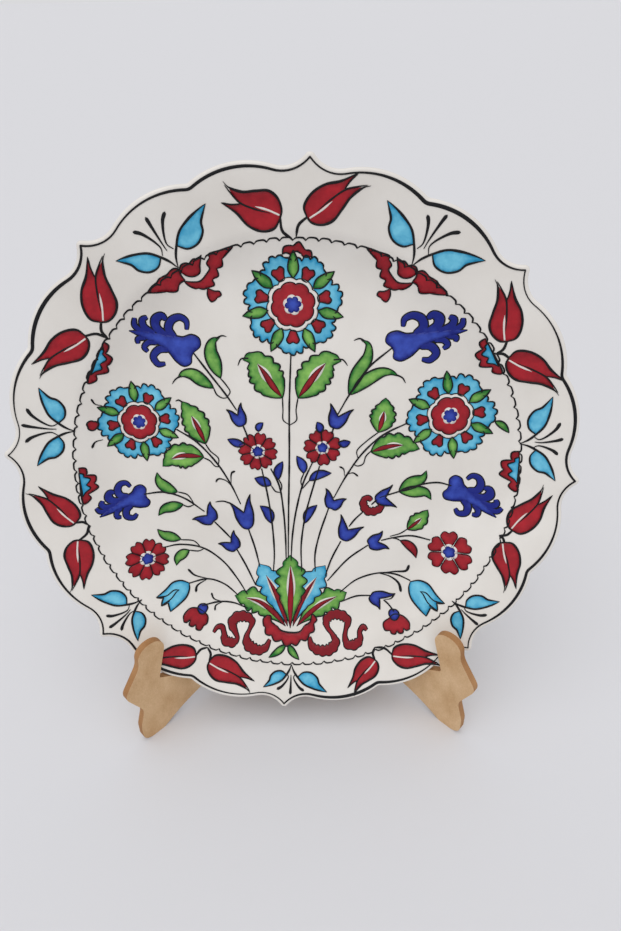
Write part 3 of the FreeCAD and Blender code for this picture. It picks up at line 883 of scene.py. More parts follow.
def fibreboard(name, across):
    """Medium density fibreboard: a smooth tan face with fine dark flecks, and darker, furry sawn edges.

    across is the way through the board's thickness.
    """
    colours = bpy.context.scene.plate_colours
    material, tree, output = new_material(name)
    spot = add_node(tree, "ShaderNodeTexCoord")
    stretch = add_node(tree, "ShaderNodeMapping", {"Scale": (1.0, 1.0, 0.6)},
                       {"Vector": spot.outputs["Object"]})
    cloud = add_node(tree, "ShaderNodeTexNoise", {"Scale": 1 / (14 * MM), "Detail": 5.0},
                     {"Vector": stretch.outputs["Vector"]})
    fleck = add_node(tree, "ShaderNodeTexNoise", {"Scale": 1 / (0.9 * MM), "Detail": 4.0, "Roughness": 0.7},
                     {"Vector": stretch.outputs["Vector"]})
    both = add_node(tree, "ShaderNodeMath", {"operation": "MULTIPLY_ADD", 1: 0.5},
                    {0: fleck.outputs["Fac"], 2: cloud.outputs["Fac"]})
    face = add_node(tree, "ShaderNodeValToRGB", {}, {"Fac": both.outputs[0]})
    face.color_ramp.elements[0].position = 0.5
    face.color_ramp.elements[0].color = colours.board_fleck
    face.color_ramp.elements[1].position = 0.95
    face.color_ramp.elements[1].color = colours.board
    way = add_node(tree, "ShaderNodeNewGeometry")
    facing = add_node(tree, "ShaderNodeVectorMath", {"operation": "DOT_PRODUCT", 1: across},
                      {0: way.outputs["Normal"]})
    square = add_node(tree, "ShaderNodeMath", {"operation": "ABSOLUTE"}, {0: facing.outputs["Value"]})
    edges = add_node(tree, "ShaderNodeValToRGB", {}, {"Fac": square.outputs[0]})
    edges.color_ramp.elements[0].color = linear("#CDB69E")
    edges.color_ramp.elements[1].color = linear("#FFFFFF")
    colour = add_node(tree, "ShaderNodeMix", {"data_type": "RGBA", "blend_type": "MULTIPLY", 0: 1.0},
                      {6: face.outputs["Color"], 7: edges.outputs["Color"]})
    bump = add_node(tree, "ShaderNodeBump", {"Strength": 0.35, "Distance": 0.12 * MM},
                    {"Height": fleck.outputs["Fac"]})
    shader = add_node(tree, "ShaderNodeBsdfPrincipled", {"Roughness": 0.72, "Specular IOR Level": 0.3},
                      {"Base Color": colour.outputs[2], "Normal": bump.outputs["Normal"]})
    tree.links.new(shader.outputs[0], output.inputs["Surface"])
    return material


def brass():
    """Rolled brass, lacquered: yellow metal with a fine rolled grain and soft highlights."""
    material, tree, output = new_material("Brass, rolled and lacquered")
    spot = add_node(tree, "ShaderNodeTexCoord")
    grain = add_node(tree, "ShaderNodeMapping", {"Scale": (1.0, 1.0, 12.0)},
                     {"Vector": spot.outputs["Object"]})
    rolled = add_node(tree, "ShaderNodeTexNoise", {"Scale": 1 / (2 * MM), "Detail": 3.0},
                      {"Vector": grain.outputs["Vector"]})
    rough = add_node(tree, "ShaderNodeMath", {"operation": "MULTIPLY_ADD", 1: 0.15, 2: 0.22},
                     {0: rolled.outputs["Fac"]})
    shader = add_node(tree, "ShaderNodeBsdfPrincipled",
                      {"Base Color": bpy.context.scene.plate_colours.brass, "Metallic": 1.0},
                      {"Roughness": rough.outputs[0]})
    tree.links.new(shader.outputs[0], output.inputs["Surface"])
    return material


# ---------------------------------------------------------------- operators

class PLATE_OT_body(bpy.types.Operator):
    """Make the glazed plate"""
    bl_idname = "plate.body"
    bl_label = "Glazed plate"

    def execute(self, context):
        def make(bm):
            columns = [[bm.verts.new(MIDDLE + spot) for spot in column] for column in PLATE_SKIN]
            standing = len(columns[0]) + STANDING_ROW
            for one, two in zip(columns, columns[1:] + columns[:1]):
                for row, (a, b, c, d) in enumerate(zip(one, one[1:], two[1:], two)):
                    face = bm.faces.new((a, b, c, d))
                    face.smooth = row != standing
                    face.material_index = int(row == standing)
            bm.faces.new([column[0] for column in columns])
            bm.faces.new([column[-1] for column in columns][::-1])
            bmesh.ops.recalc_face_normals(bm, faces=bm.faces)
        piece = piece_from("plate_body", make, [white_glaze(), bare_clay()], "plate")
        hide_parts("plate")
        return {"FINISHED"}


RIM_LINE_INSET = 2.4            # of the black line's middle from the rim, mm
RING_MIDDLE = Vector((1.5, -5.5))


class PLATE_OT_rim(bpy.types.Operator):
    """Paint the rim's black line and the scalloped ring round the well"""
    bl_idname = "plate.rim"
    bl_label = "Rim line and ring"

    def execute(self, context):
        painting = Painting()
        sizes = context.scene.plate_sizes
        outline = rim_outline(LOBE_TURN - PAINT_TURN)
        spots, widths = [], []
        for number, (place, out) in enumerate(outline):
            angle = math.atan2(place.y, place.x)
            lobe = LOBES * (angle - math.pi / 2 - LOBE_TURN + PAINT_TURN)
            spots.append(place - out * (RIM_LINE_INSET + 0.15 * (1 - math.cos(lobe))))
            stroke = 1 - 0.17 * math.cos(lobe) + 0.3 * math.sin(lobe - 0.4) + 0.17 * math.sin(5 * angle + 2)
            widths.append(sizes.rim_line / MM * stroke)
        painting.trail(spots, widths, "black", TOP, True)
        radius = sizes.ring_radius / MM
        count = sizes.ring_scallops
        for number in range(count):
            low, high = [2 * math.pi * (number + k) / count for k in (0, 1)]
            wobble = 0.5 * math.sin(number * 1.9)
            reach = radius + 0.5 + 0.3 * wobble
            arc = [(radius - 0.7, 0), (reach, 0.2 + 0.05 * wobble), (reach + 0.2, 0.5), (reach, 0.8),
                   (radius - 0.7, 1)]
            spots = [RING_MIDDLE + polar(r, low + (high - low) * share) for r, share in arc]
            painting.line(spots, 0.9, 0.8, 0.35)
        painting.pieces("rim_and_ring")
        return {"FINISHED"}


# (root, base, tip, side) of each tulip; beyond 1, the side makes it fuller
TULIPS = (
    ((-2, 113), (-7.5, 121.8), (-31.5, 129.8), 1.25), ((0, 114), (5, 122.5), (27.5, 138), 1),
    ((101, 59), (105.5, 65.5), (101.5, 92), -1), ((101, 59), (107.5, 57.5), (132, 46), 1),
    ((113, -41), (119.5, -37.5), (134.5, -16), -1), ((113, -41), (116, -44.5), (121.5, -69), 1),
    ((47, -113), (57, -116.5), (82, -116.5), 1), ((47, -113), (47, -120), (34, -137), -1),
    ((-51, -113), (-57.5, -117), (-82, -117), -1), ((-51, -113), (-50, -121), (-27, -134.5), 1),
    ((-113, -36), (-119, -34), (-135.5, -15), -1), ((-113, -36), (-118, -44), (-119.5, -70), 1),
    ((-94, 65), (-96, 73), (-95.5, 101), 1), ((-94, 65), (-104, 66.5), (-127, 52.5), -1))

# (root, tip of each leaf, root to head of each brush mark)
LEAF_PAIRS = (
    ((56, 101), (42, 130), (90, 104), ((61, 124), (70, 124), (77, 116.5))),
    ((118.5, 12), (131, 38.5), (138, -7), ((136.5, 25), (139, 16.5), (137.5, 7.5))),
    ((90, -82), (115.8, -79.4), (95.5, -104), ((109.5, -88), (105, -94.5))),
    ((-2, -124.5), (19.2, -140.5), (-18.6, -137.5), ((5.6, -140), (-2.6, -142), (-10.6, -139))),
    ((-87.2, -82), (-90, -106), (-114, -76.4), ((-106.8, -89.4), (-105.4, -96.6), (-98.8, -99))),
    ((-115, 17), (-134.8, -0.6), (-129, 41), ((-136, 30.5), (-139.5, 22), (-138.8, 12.6))),
    ((-57, 99), (-85.3, 102), (-41.8, 127.7), ((-76, 115), (-69.5, 121.5), (-60.5, 124))))


class PLATE_OT_tulips(bpy.types.Operator):
    """Paint the seven pairs of tulips on the flange"""
    bl_idname = "plate.tulips"
    bl_label = "Tulips"

    def execute(self, context):
        painting = Painting()
        for root, base, tip, side in TULIPS:
            tulip(painting, root, base, tip, side)
        painting.pieces("tulips")
        return {"FINISHED"}


class PLATE_OT_rim_leaves(bpy.types.Operator):
    """Paint the seven pairs of leaves on the flange"""
    bl_idname = "plate.rim_leaves"
    bl_label = "Rim leaves"

    def execute(self, context):
        painting = Painting()
        for root, one, two, heads in LEAF_PAIRS:
            turned = (Vector(one) - Vector(root)).cross(Vector(two) - Vector(root)) > 0
            rim_leaf(painting, root, one, 1 if turned else -1)
            rim_leaf(painting, root, two, -1 if turned else 1)
            for head in heads:
                out = Vector(root).normalized()
                start = Vector(root).lerp(Vector(head), 0.35)
                bow = Vector(root) + out * (start - Vector(root)).dot(out) * 1.9
                painting.comma([head, Vector(head).lerp(bow, 0.35), bow.lerp(start, 0.55), start], 2.1)
        painting.pieces("rim_leaves")
        return {"FINISHED"}


# (centre, radius, angle of the first leaf, petals)
ROSETTES = (((-1.5, 81.6), 25.6, 90, 7), ((-83.5, 20), 21.6, 97, 6), ((82.8, 24.6), 23.8, 99, 6))


class PLATE_OT_rosettes(bpy.types.Operator):
    """Paint the three large rosettes"""
    bl_idname = "plate.rosettes"
    bl_label = "Rosettes"

    def execute(self, context):
        painting = Painting()
        for centre, radius, start, count in ROSETTES:
            rosette(painting, centre, radius, math.radians(start), count)
        painting.pieces("rosettes")
        return {"FINISHED"}


# Outlines of the left cloud. The right one is its mirror image, moved from the first line to the second.
LEFT_CLOUD_LINE = ((-73, 87), (-30.5, 109.2))
RIGHT_CLOUD_LINE = ((75, 87.5), (34, 109.2))
CLOUD = (
    [[(-73, 87), (-71, 89.6)], [(-70, 90.8), (-68, 92), (-66.4, 94)], [(-65.5, 94.6), (-62.5, 96)],
     [(-61.6, 97.2), (-59, 98.8)], [(-56.6, 98.4), (-56.2, 95.6)], [(-54.6, 93.2), (-57.2, 91.6)],
     [(-57.8, 90.6), (-59, 87.8), (-62, 87.4)], [(-64, 87.6), (-68, 87.2)]],
    [[(-57, 97.6), (-55.4, 100.6), (-52.8, 101.4)], [(-51.8, 101.2), (-49.6, 103.2)],
     [(-48.4, 103.4), (-46.2, 104.4)],
     [(-45.6, 105.2), (-46.8, 100.4), (-47.2, 96.8), (-50, 95), (-53.4, 95.2)]],
    [[(-55.4, 92.8), (-53, 90.4), (-50, 89)], [(-48.6, 89.2), (-46, 88.8), (-43.6, 89.6)],
     [(-42.6, 89.8), (-40.6, 91), (-41.4, 93.2)], [(-41, 93.8), (-38.4, 95.4), (-38.8, 98.2)],
     [(-39, 98.8), (-36.2, 100), (-36, 102.6)], [(-36, 103.4), (-33.8, 105.6), (-30.5, 109.2)],
     [(-31, 109.4), (-36, 107.6), (-42.4, 105.4)],
     [(-42, 104), (-43.6, 101), (-42.4, 99), (-44, 96.4), (-47.6, 92.8), (-51.4, 92.4)]],
    [[(-44.2, 89.4), (-44.4, 85.6), (-42.6, 82.6), (-40.4, 83.6)],
     [(-39.6, 84.6), (-37.6, 86), (-38.4, 87.8), (-40.8, 88)]])

CAP = [
    [(-6.8, 105.8), (-6, 109.2), (-2.6, 110)], [(-1.6, 109.8), (1.4, 111.6), (3.8, 108.8)],
    [(4.6, 108), (7.2, 107.4), (7.6, 104.8)], [(6.6, 104.6), (3.4, 104.9)],
    [(2.4, 106.2), (0.2, 107.3), (-2, 106.6)], [(-3, 105.8), (-5, 106.6)]]

RED_DROP = (-107, 19)               # middle of the red drop beside the left rosette

# A half flower hangs on a piece of the ring that goes from (0, 0) to (1, 0).
HALF_FLOWER = (
    ("red", 1,
     [[(0.0, 0.02), (0.05, 0.17), (0.2, 0.18)], [(0.23, 0.15), (0.3, 0.36), (0.46, 0.34)],
      [(0.49, 0.3), (0.62, 0.38), (0.73, 0.2)], [(0.76, 0.13), (0.88, 0.18), (1.0, 0.0)]]),
    ("turquoise", 2,
     [[(0.14, 0.0), (0.2, 0.1)], [(0.27, 0.09), (0.36, 0.23), (0.47, 0.15)],
      [(0.5, 0.12), (0.6, 0.2), (0.7, 0.07)], [(0.8, 0.0)]]))
# (start, end, side) of each half flower along the ring
HALF_FLOWERS = (
    ((-96.5, 63.5), (-106.3, 42), 0.75), ((95.5, 67), (105.5, 49), -1), ((-116, -3.5), (-114.4, -24), 1),
    ((119.4, 8), (119.6, -15), -1))

# (base, tip, side, number of curls)
HYACINTHS = (
    ((-53, 57.5), (-84, 68.5), 1, 7), ((50, 60.8), (86.5, 70.5), -0.8, 7),
    ((-83.4, -21.6), (-107.5, -32.6), 0.95, 6), ((85.6, -15.4), (111, -31), -0.95, 6))

# (centre, radius, petals, angle of the first)
SMALL_FLOWERS = (
    ((-20.5, 3.8), 10.8, 8, 80), ((14.6, 6.2), 10.4, 7, 70), ((-84, -60), 11.8, 8, 84),
    ((88, -55), 12.4, 6, 93))

# Outline of the left turquoise tulip. The right one is its mirror image, moved as the cloud is.
LEFT_TULIP_LINE = ((-61.5, -77), (-77, -86.5))
RIGHT_TULIP_LINE = ((66.8, -75.5), (82.5, -88.5))
WELL_TULIP = [
    [(-61.6, -76.2), (-66, -74.5), (-70.6, -75.2), (-75, -79)], [(-79.6, -82), (-76.4, -82.8)],
    [(-75.6, -82.6), (-76.4, -84.8)], [(-76.8, -87), (-74.2, -86.2)], [(-73.2, -85.8), (-72.6, -88)],
    [(-71.8, -90.8), (-67, -87.6), (-63, -84), (-61.4, -79.4)]]
WELL_TULIP_FOLDS = (
    [(-79, -82), (-74, -82), (-70, -79.6), (-67.2, -79.8)],
    [(-76.6, -86.6), (-71.6, -84), (-68.6, -80.6), (-67.2, -79.8)], [(-73, -85.6), (-72.4, -84.6)])

RED_BUDS = (
    [[(-53.4, -93.2), (-57, -91), (-61, -90.6), (-64.6, -94)],
     [(-64.4, -97.4), (-62.8, -97.8), (-61.2, -96.8)],
     [(-60.8, -97), (-61.4, -99.2), (-59.6, -100.4), (-58, -99.8)],
     [(-57.6, -99.8), (-57.4, -102), (-55, -102.8), (-53.6, -101.2)],
     [(-53.2, -100.8), (-51.4, -99.6), (-51, -96)]],
    [[(55.4, -96), (58, -93.8), (63, -94), (66.6, -97)], [(67, -100.8), (65, -101.8), (63.4, -100.8)],
     [(63.4, -101.2), (63, -103.4), (60.8, -103.8), (59.8, -102.6)],
     [(59.6, -102.6), (58.8, -104.4), (56.4, -104.2), (55.8, -102.8)],
     [(55.6, -102.8), (52.8, -102.8), (51.8, -99.4)]])
# (centre, radius)
CALYXES = (((-54, -91.6), 2.9), ((58, -94), 3.0))

# Middle line of the red crescent on a stem, with its width as the third number
CRESCENT = [
    (42.6, -24.6, 2), (40.6, -22.8, 2.6), (38.2, -24.4, 3.2), (38.6, -28.4, 4), (41.2, -31, 4.4),
    (45.4, -30.6, 4.2), (48.2, -28.2, 3), (46.8, -25.8, 2)]

# (base, tips, width of each blade)
BUDS = (
    ((-28.5, 18), ((-37, 27), (-29, 30.8)), 6.4), ((20.6, 17), ((18.4, 30.8), (31, 27.6)), 6.4),
    ((-26.3, -42.5), ((-37, -26), (-25.2, -21)), 7.4), ((-46, -37.5), ((-58, -36.5), (-47.5, -25.6)), 7.6),
    ((-33.5, -54.8), ((-44, -51.5), (-34.8, -43)), 7.0), ((20, -29.5), ((16.8, -17.4), (28.6, -23.6)), 7.0),
    ((27.2, -49), ((25.6, -33), (39, -40.6)), 6.2), ((42, -51.5), ((49.6, -43), (54, -54.4)), 7.6),
    ((44.5, -24), ((54, -15), (57, -28.6)), 5.0), ((44.4, -84.4), ((58.8, -82.4), (50, -92.4)), 6.4))
# (spine, width)
BLADES = (
    ([(-20, 15), (-19.8, 17.6), (-17.4, 20)], 3.4), ([(-27.5, 7.6), (-31, 8.2), (-36.8, 10.6)], 4.2),
    ([(12.6, 14.5), (13, 17.4), (11.4, 20.6)], 4.0), ([(23, 9), (26, 8.4), (29.8, 9.6)], 4.0),
    ([(-9.4, -12.4), (-9.6, -7.4), (-7, -1.8)], 4.4), ([(-13.4, -15.6), (-17, -13.8), (-22.6, -11.6)], 5.4),
    ([(-13.4, -38.6), (-15.4, -32), (-19.8, -28)], 5.4), ([(5.4, -38.4), (7.4, -32.4), (12.2, -27.4)], 4.6),
    ([(4.6, -8.6), (3.8, -4), (0.6, 1.4)], 4.8), ([(7.6, -12.8), (12.6, -9.4), (19.8, -8.4)], 4.8))

# (spine, width)
LEAVES = (
    ([(-39.4, 43.8), (-42, 51), (-44, 58), (-42.6, 63), (-39, 65)], 7.2),
    ([(-43.2, 38.6), (-49, 42.4), (-54, 45.8), (-58.6, 46), (-61.8, 43.8)], 6.4),
    ([(28, 35.6), (31.8, 46), (37.4, 56), (37, 62.4), (33.6, 64.2)], 6.6),
    ([(29, 35.6), (37, 43.2), (45, 47.6), (50, 47.6), (54, 45.6)], 6.4),
    ([(-65.4, -20), (-71, -17.6), (-75, -13.6), (-76, -8.6)], 6.2),
    ([(-62.6, -27.4), (-68, -28.6), (-73.4, -30.4), (-76.8, -34.2)], 5.8),
    ([(-65, -48.8), (-70, -47.4), (-74.6, -46), (-78, -42.6)], 5.8),
    ([(-60.6, -55.6), (-64, -57.6), (-67.4, -61), (-68.4, -65.2)], 5.4),
    ([(57.6, -18.6), (63.6, -14.2), (70.4, -11), (72.2, -6.6)], 6.8),
    ([(57.6, -19), (66, -19), (72.6, -19.6), (76, -23.8)], 6.4),
    ([(105.8, 22.8), (109, 21.4), (113, 17.4)], 3.4))

# (spine, width)
RED_LEAF = ([(60, -49), (64, -51), (68, -55), (69.8, -60)], 4.6)

# (spine, width, teeth a side, length of the rib)
TOOTHED_LEAVES = (
    ([(-7, 33.6), (-13.6, 42), (-18.6, 50), (-23.6, 54.4), (-27.4, 53.4)], 18.5, 7, 0.66),
    ([(1.2, 33.6), (7.4, 42), (13, 49.6), (18.4, 54), (23.6, 53.2)], 18.5, 7, 0.66),
    ([(-48.6, 8), (-52, 16), (-55.6, 23.6), (-60.4, 31.4)], 14.4, 6, 0.6),
    ([(-50, 0.6), (-58, 1.2), (-66, 0.2), (-72.6, -5)], 14.8, 6, 0.7),
    ([(44.6, 15), (46.4, 22), (47.4, 28.4), (47.8, 34)], 14.4, 6, 0.6),
    ([(41, 4), (50, 7), (58.6, 8), (67.6, 5.8)], 14.6, 6, 0.62),
    ([(63.6, -42), (67.6, -38.6), (71.4, -34.8), (74.6, -30)], 10.6, 4, 0.62))

# Middle lines, from the flowers down
STEMS = (
    [(-2.6, 56), (-3.4, 30), (-3.4, 0), (-3.8, -30), (-4, -60)],
    [(-53, 57), (-45, 46), (-36.4, 34.4), (-31.4, 26.6)], [(-28.4, 18.6), (-26.6, 14), (-25.4, 10)],
    [(-18.6, -6), (-15.4, -22), (-13, -40), (-12, -58), (-12.6, -69)],
    [(-13.6, -6), (-9, -16), (-6.8, -30), (-5.6, -46), (-5.2, -62)],
    [(-64, 16), (-54, 9.4), (-43, -3), (-35.4, -16), (-30.6, -27)],
    [(-26.6, -42), (-23, -54), (-20.4, -66)], [(-84, -21.4), (-73, -20.2), (-62, -23.6), (-51, -31.6)],
    [(-45.6, -37.8), (-40, -44), (-36.6, -48)], [(-33.4, -55), (-28, -66), (-23, -78)],
    [(-74.6, -53.8), (-66, -52), (-53, -54), (-42, -62), (-34, -73), (-28, -84)],
    [(-61.6, -76.4), (-50, -74), (-41, -77.4), (-33.4, -84.6)],
    [(-54.4, -90), (-44, -88.4), (-36, -89.4), (-28, -93)],
    [(50, 60.6), (38, 50), (28.4, 35.6), (22.4, 24.6)], [(20.4, 17.4), (19.4, 14)],
    [(13.2, -4.4), (10, -16), (5.6, -34), (3.4, -52), (3.8, -69)],
    [(9.6, -1.6), (4.4, -14), (0.6, -30), (-1.6, -46), (-2.4, -62)],
    [(60.2, 20.4), (47, 13.4), (36.4, 3), (28, -10), (21.4, -23)],
    [(18.6, -29.4), (13.6, -46), (11.4, -58), (11.6, -69)],
    [(86.6, -15.4), (79, -13.6), (69, -15), (57.8, -19), (47, -22.6)], [(45.6, -24), (42.6, -27)],
    [(37.8, -31.6), (33.6, -36), (30.4, -40.4)], [(26, -49.6), (20.8, -61), (17.4, -72)],
    [(77.2, -48.6), (66, -46), (56, -47.2), (49, -49)], [(41.6, -52), (30.6, -60.6), (18.8, -75)],
    [(67, -74), (58, -70.4), (48.4, -69.8), (36, -74), (26.4, -82.4)],
    [(58, -92.4), (54.6, -88.6), (52, -86.6)], [(44.6, -84.4), (36, -85), (27.4, -88.6)])

THIN_STEMS = (
    [(-7, 33.8), (-6.8, 27), (-6.6, 21.4), (-3.6, 19)], [(1.2, 33.8), (0.2, 27), (0.4, 21.4), (-3, 18.8)],
    [(-39.6, 44), (-36.4, 40), (-34.6, 36.6), (-36.6, 33.4)],
    [(-43.2, 38.6), (-41.6, 35), (-38.4, 33.2), (-36, 33.6)],
    [(-48.8, 8), (-46.4, 4), (-42, -0.4), (-42.4, -5)],
    [(-50.4, 0.2), (-46.6, -1.8), (-44, -4.8), (-41.4, -5.2)], [(-13.4, -16), (-11, -19.4), (-8.6, -20)],
    [(-9.4, -12), (-7.6, -16), (-8.2, -20)], [(-65, -20), (-60, -21.6), (-56.8, -26.4)],
    [(-62.8, -27.6), (-60, -28.8), (-56.6, -27.6)], [(-65, -49), (-57.6, -49.8), (-54, -53.6)],
    [(-60.6, -55.6), (-55, -56), (-52, -54.4)], [(44.6, 15), (38.4, 10), (33.4, 4.4), (34, 0.4)],
    [(41, 4.4), (38.4, 1.4), (37, -3), (34, -4.2), (31.4, -3)], [(4.6, -8.6), (3, -13.4), (4, -17.6)],
    [(7.8, -12.8), (5.6, -15.4), (4, -17.6)], [(63.4, -42), (60, -44.4), (54, -46.4)],
    [(60, -49), (57.6, -47.8), (54.6, -47.4)])

# Fine ends of leaves and buds that run on past their colour
WHISKERS = (
    [(-24.6, 54.4), (-28.4, 54), (-30.2, 50.4)], [(19.6, 54), (24.4, 54), (27, 51)],
    [(-41, 64.4), (-38, 65.8), (-35.6, 65.4)], [(-60, 45), (-63, 43), (-64.8, 40.6)],
    [(35.4, 63.8), (32.8, 65), (29.8, 64)], [(52.6, 46.4), (56, 44.8), (57.8, 42)],
    [(-36.6, -26.6), (-40, -25.4), (-44.6, -25.8)], [(-60, 30.8), (-62, 32), (-63.6, 31.4)])

# (points from the head, width of the head)
COMMAS = (
    ([(-44, -14.2), (-42.6, -12.2), (-38.6, -13), (-35.6, -16)], 1.3),
    ([(-33, -7.6), (-35, -8.6), (-35.6, -15.4)], 1.5), ([(24, -4.6), (26.4, -6), (27, -10)], 1.3),
    ([(34.6, -10.2), (31.6, -8.2), (27.4, -9.6)], 1.3), ([(-62, -67.6), (-58.4, -71.4), (-49.6, -74)], 1.7),
    ([(-57.8, -82), (-57.2, -78.4), (-51.6, -74.4)], 1.8),
    ([(-49, -82.8), (-47.6, -86.4), (-42.6, -88.4)], 1.4),
    ([(-47, -93.4), (-46.6, -90.6), (-42.4, -88.6)], 1.4),
    ([(66, -64.4), (64.6, -68), (57.6, -68.8), (48.8, -69.8)], 2.0),
    ([(62, -81.2), (60.4, -76), (55, -71.8), (48.4, -69.8)], 2.0),
    ([(-106, 33.6), (-104.6, 30.6), (-101.6, 29.4)], 1.3),
    ([(-108.6, 6.4), (-106.8, 9.6), (-103, 10.6)], 1.5),
    ([(58.4, -82.4), (56.4, -85.4), (52.6, -86.4)], 1.3))

# (spine, width, colour, teeth a side, length of the rib, coat)
PALMETTE = (
    ([(-5.6, -104), (-13, -95.6), (-22, -88.4), (-35.4, -85)], 17, "green", 6, 0.76, 0),
    ([(1, -104), (8.4, -96.4), (17.4, -89), (30.4, -82.6)], 16.4, "green", 6, 0.76, 0),
    ([(-4.4, -104), (-8.6, -91), (-14, -77), (-21, -64)], 17, "turquoise", 6, 0.74, 1.5),
    ([(-1.2, -104), (2.4, -92), (8.6, -79), (17.4, -65)], 17, "turquoise", 6, 0.74, 1.5),
    ([(-2.8, -105), (-2.8, -92), (-2.4, -76), (-3, -58.5)], 19, "green", 7, 0.8, 3))

CUP = [
    [(-16.6, -97.4), (-18.8, -99.6), (-18.4, -103.6)], [(-17.6, -104), (-17.4, -107.6), (-14.8, -108.6)],
    [(-14, -108.4), (-12, -111.6), (-8.8, -111.4)], [(-8, -111), (-5.6, -114.2), (-2.8, -113.6)],
    [(-2, -113), (0.8, -114), (3, -111.6)], [(3.6, -111), (6.6, -111.4), (8.4, -108.6)],
    [(8.6, -107.8), (11.4, -106.4), (11.2, -103)], [(11.2, -102.4), (13, -100.2), (10.4, -97)],
    [(9.8, -97.6), (9, -101.4), (6, -103.4)],
    [(5.6, -103.6), (3, -106.8), (-2.8, -107.4), (-8.6, -106), (-10.6, -103.8)],
    [(-11.4, -103.4), (-14, -101.2), (-14.4, -98)]]

# Centre line of each ribbon, with its width as the third number
RIBBONS = (
    [(-14.8, -110.6, 1.2), (-17.4, -114.8, 3.4), (-22, -116, 5), (-27.4, -112.8, 5.2), (-28.4, -108.4, 2.6),
     (-26.8, -105, 1.6), (-25.4, -101, 3.2), (-28.6, -98, 5), (-34, -97.8, 5.4), (-37, -101, 4.6),
     (-35.2, -105.4, 2.6), (-33.8, -109, 1.8), (-36.4, -111, 4.6), (-40.8, -109.6, 4.4),
     (-41.6, -105.4, 2.2), (-42.8, -102.4, 2.4), (-45.4, -102.2, 2), (-47.6, -104.8, 1)],
    [(8.6, -109.4, 1.2), (10, -114, 3.4), (14.6, -116.4, 5), (20.8, -115.6, 5.4), (24, -111.4, 4.4),
     (22, -107.4, 2), (19.4, -104.4, 2.2), (18.6, -100.4, 4), (22, -97, 5), (27.4, -97, 5.2),
     (31.2, -100.2, 4), (30.2, -104.4, 1.8), (29.6, -108.4, 2.4), (31.2, -112.2, 4.4), (35.4, -112.2, 5),
     (38.4, -108.8, 3.2), (38.2, -105, 2), (40.4, -102.4, 2.4), (42.4, -104, 1.4)])

# (spine, width)
FOOT_LEAVES = (
    ([(-5.4, -113.6), (-9.6, -116.8), (-15.4, -120.4)], 3.6),
    ([(-4, -113.6), (-1.4, -117.4), (2.6, -121.8)], 3.8))


class PLATE_OT_clouds(bpy.types.Operator):
    """Paint the red clouds, the cap and the half flowers that hang from the ring"""
    bl_idname = "plate.clouds"
    bl_label = "Clouds"

    def execute(self, context):
        painting = Painting()
        for away, side in ((LEFT_CLOUD_LINE, 1), (RIGHT_CLOUD_LINE, -1)):
            for spans in CLOUD:
                painting.shape("red", [carried(span, LEFT_CLOUD_LINE, away, side) for span in spans], 1, 0.7)
        painting.shape("red", CAP, 2, 0.8)
        painting.fill("red", lobed(RED_DROP, 2.8, 0.25, 3, 0.2, 40), 2, 0.8)
        for base, tip, side in HALF_FLOWERS:
            for colour, level, spans in HALF_FLOWER:
                painting.shape(colour, [placed(span, base, tip, side) for span in spans], level, 0.8)
        painting.pieces("clouds")
        return {"FINISHED"}


class PLATE_OT_hyacinths(bpy.types.Operator):
    """Paint the four cobalt hyacinths"""
    bl_idname = "plate.hyacinths"
    bl_label = "Hyacinths"

    def execute(self, context):
        painting = Painting()
        for base, tip, side, curls in HYACINTHS:
            hyacinth(painting, base, tip, side, curls)
        painting.pieces("hyacinths")
        return {"FINISHED"}


class PLATE_OT_flowers(bpy.types.Operator):
    """Paint the small red flowers, the red buds and the turquoise tulips in the well"""
    bl_idname = "plate.flowers"
    bl_label = "Small flowers"

    def execute(self, context):
        painting = Painting()
        for centre, radius, count, start in SMALL_FLOWERS:
            small_flower(painting, centre, radius, count, math.radians(start))
        for away, side in ((LEFT_TULIP_LINE, 1), (RIGHT_TULIP_LINE, -1)):
            outline = [carried(span, LEFT_TULIP_LINE, away, side) for span in WELL_TULIP]
            painting.shape("turquoise", outline, 2, 1.0)
            for line in WELL_TULIP_FOLDS:
                painting.line(carried(line, LEFT_TULIP_LINE, away, side), 0.9)
        for spans in RED_BUDS:
            painting.shape("red", spans, 2, 0.8)
        for centre, radius in CALYXES:
            painting.fill("cobalt", lobed(centre, radius, 0.12, 3, 0.5, 40), 3, 0.8)
        painting.tendril(CRESCENT, "red", scallop=3.0)
        painting.pieces("flowers")
        return {"FINISHED"}


class PLATE_OT_buds(bpy.types.Operator):
    """Paint the cobalt buds and the single cobalt blades"""
    bl_idname = "plate.buds"
    bl_label = "Cobalt buds"

    def execute(self, context):
        painting = Painting()
        for base, tips, width in BUDS:
            bud(painting, base, tips, width)
        for spine, width in BLADES:
            leaf(painting, spine, width, "cobalt", 0.45)
        painting.pieces("buds")
        return {"FINISHED"}


class PLATE_OT_leaves(bpy.types.Operator):
    """Paint the green leaves, plain and toothed"""
    bl_idname = "plate.leaves"
    bl_label = "Leaves"

    def execute(self, context):
        painting = Painting()
        for spine, width in LEAVES:
            leaf(painting, spine, width)
        leaf(painting, *RED_LEAF, "red")
        for spine, width, teeth, rib_end in TOOTHED_LEAVES:
            ribbed_leaf(painting, spine, width, teeth, rib_end)
        painting.pieces("leaves")
        return {"FINISHED"}


class PLATE_OT_stems(bpy.types.Operator):
    """Paint the stems and their tendrils"""
    bl_idname = "plate.stems"
    bl_label = "Stems"

    def execute(self, context):
        painting = Painting()
        for points in STEMS:
            painting.line(points, 1.05, 0.8, 0.6)
        for points in WHISKERS:
            painting.line(points, 0.9, 0.9, 0.3)
        for points in THIN_STEMS:
            painting.line(points, 0.75, 0.7, 0.6)
        for points, width in COMMAS:
            painting.comma(points, width)
        painting.pieces("stems")
        return {"FINISHED"}


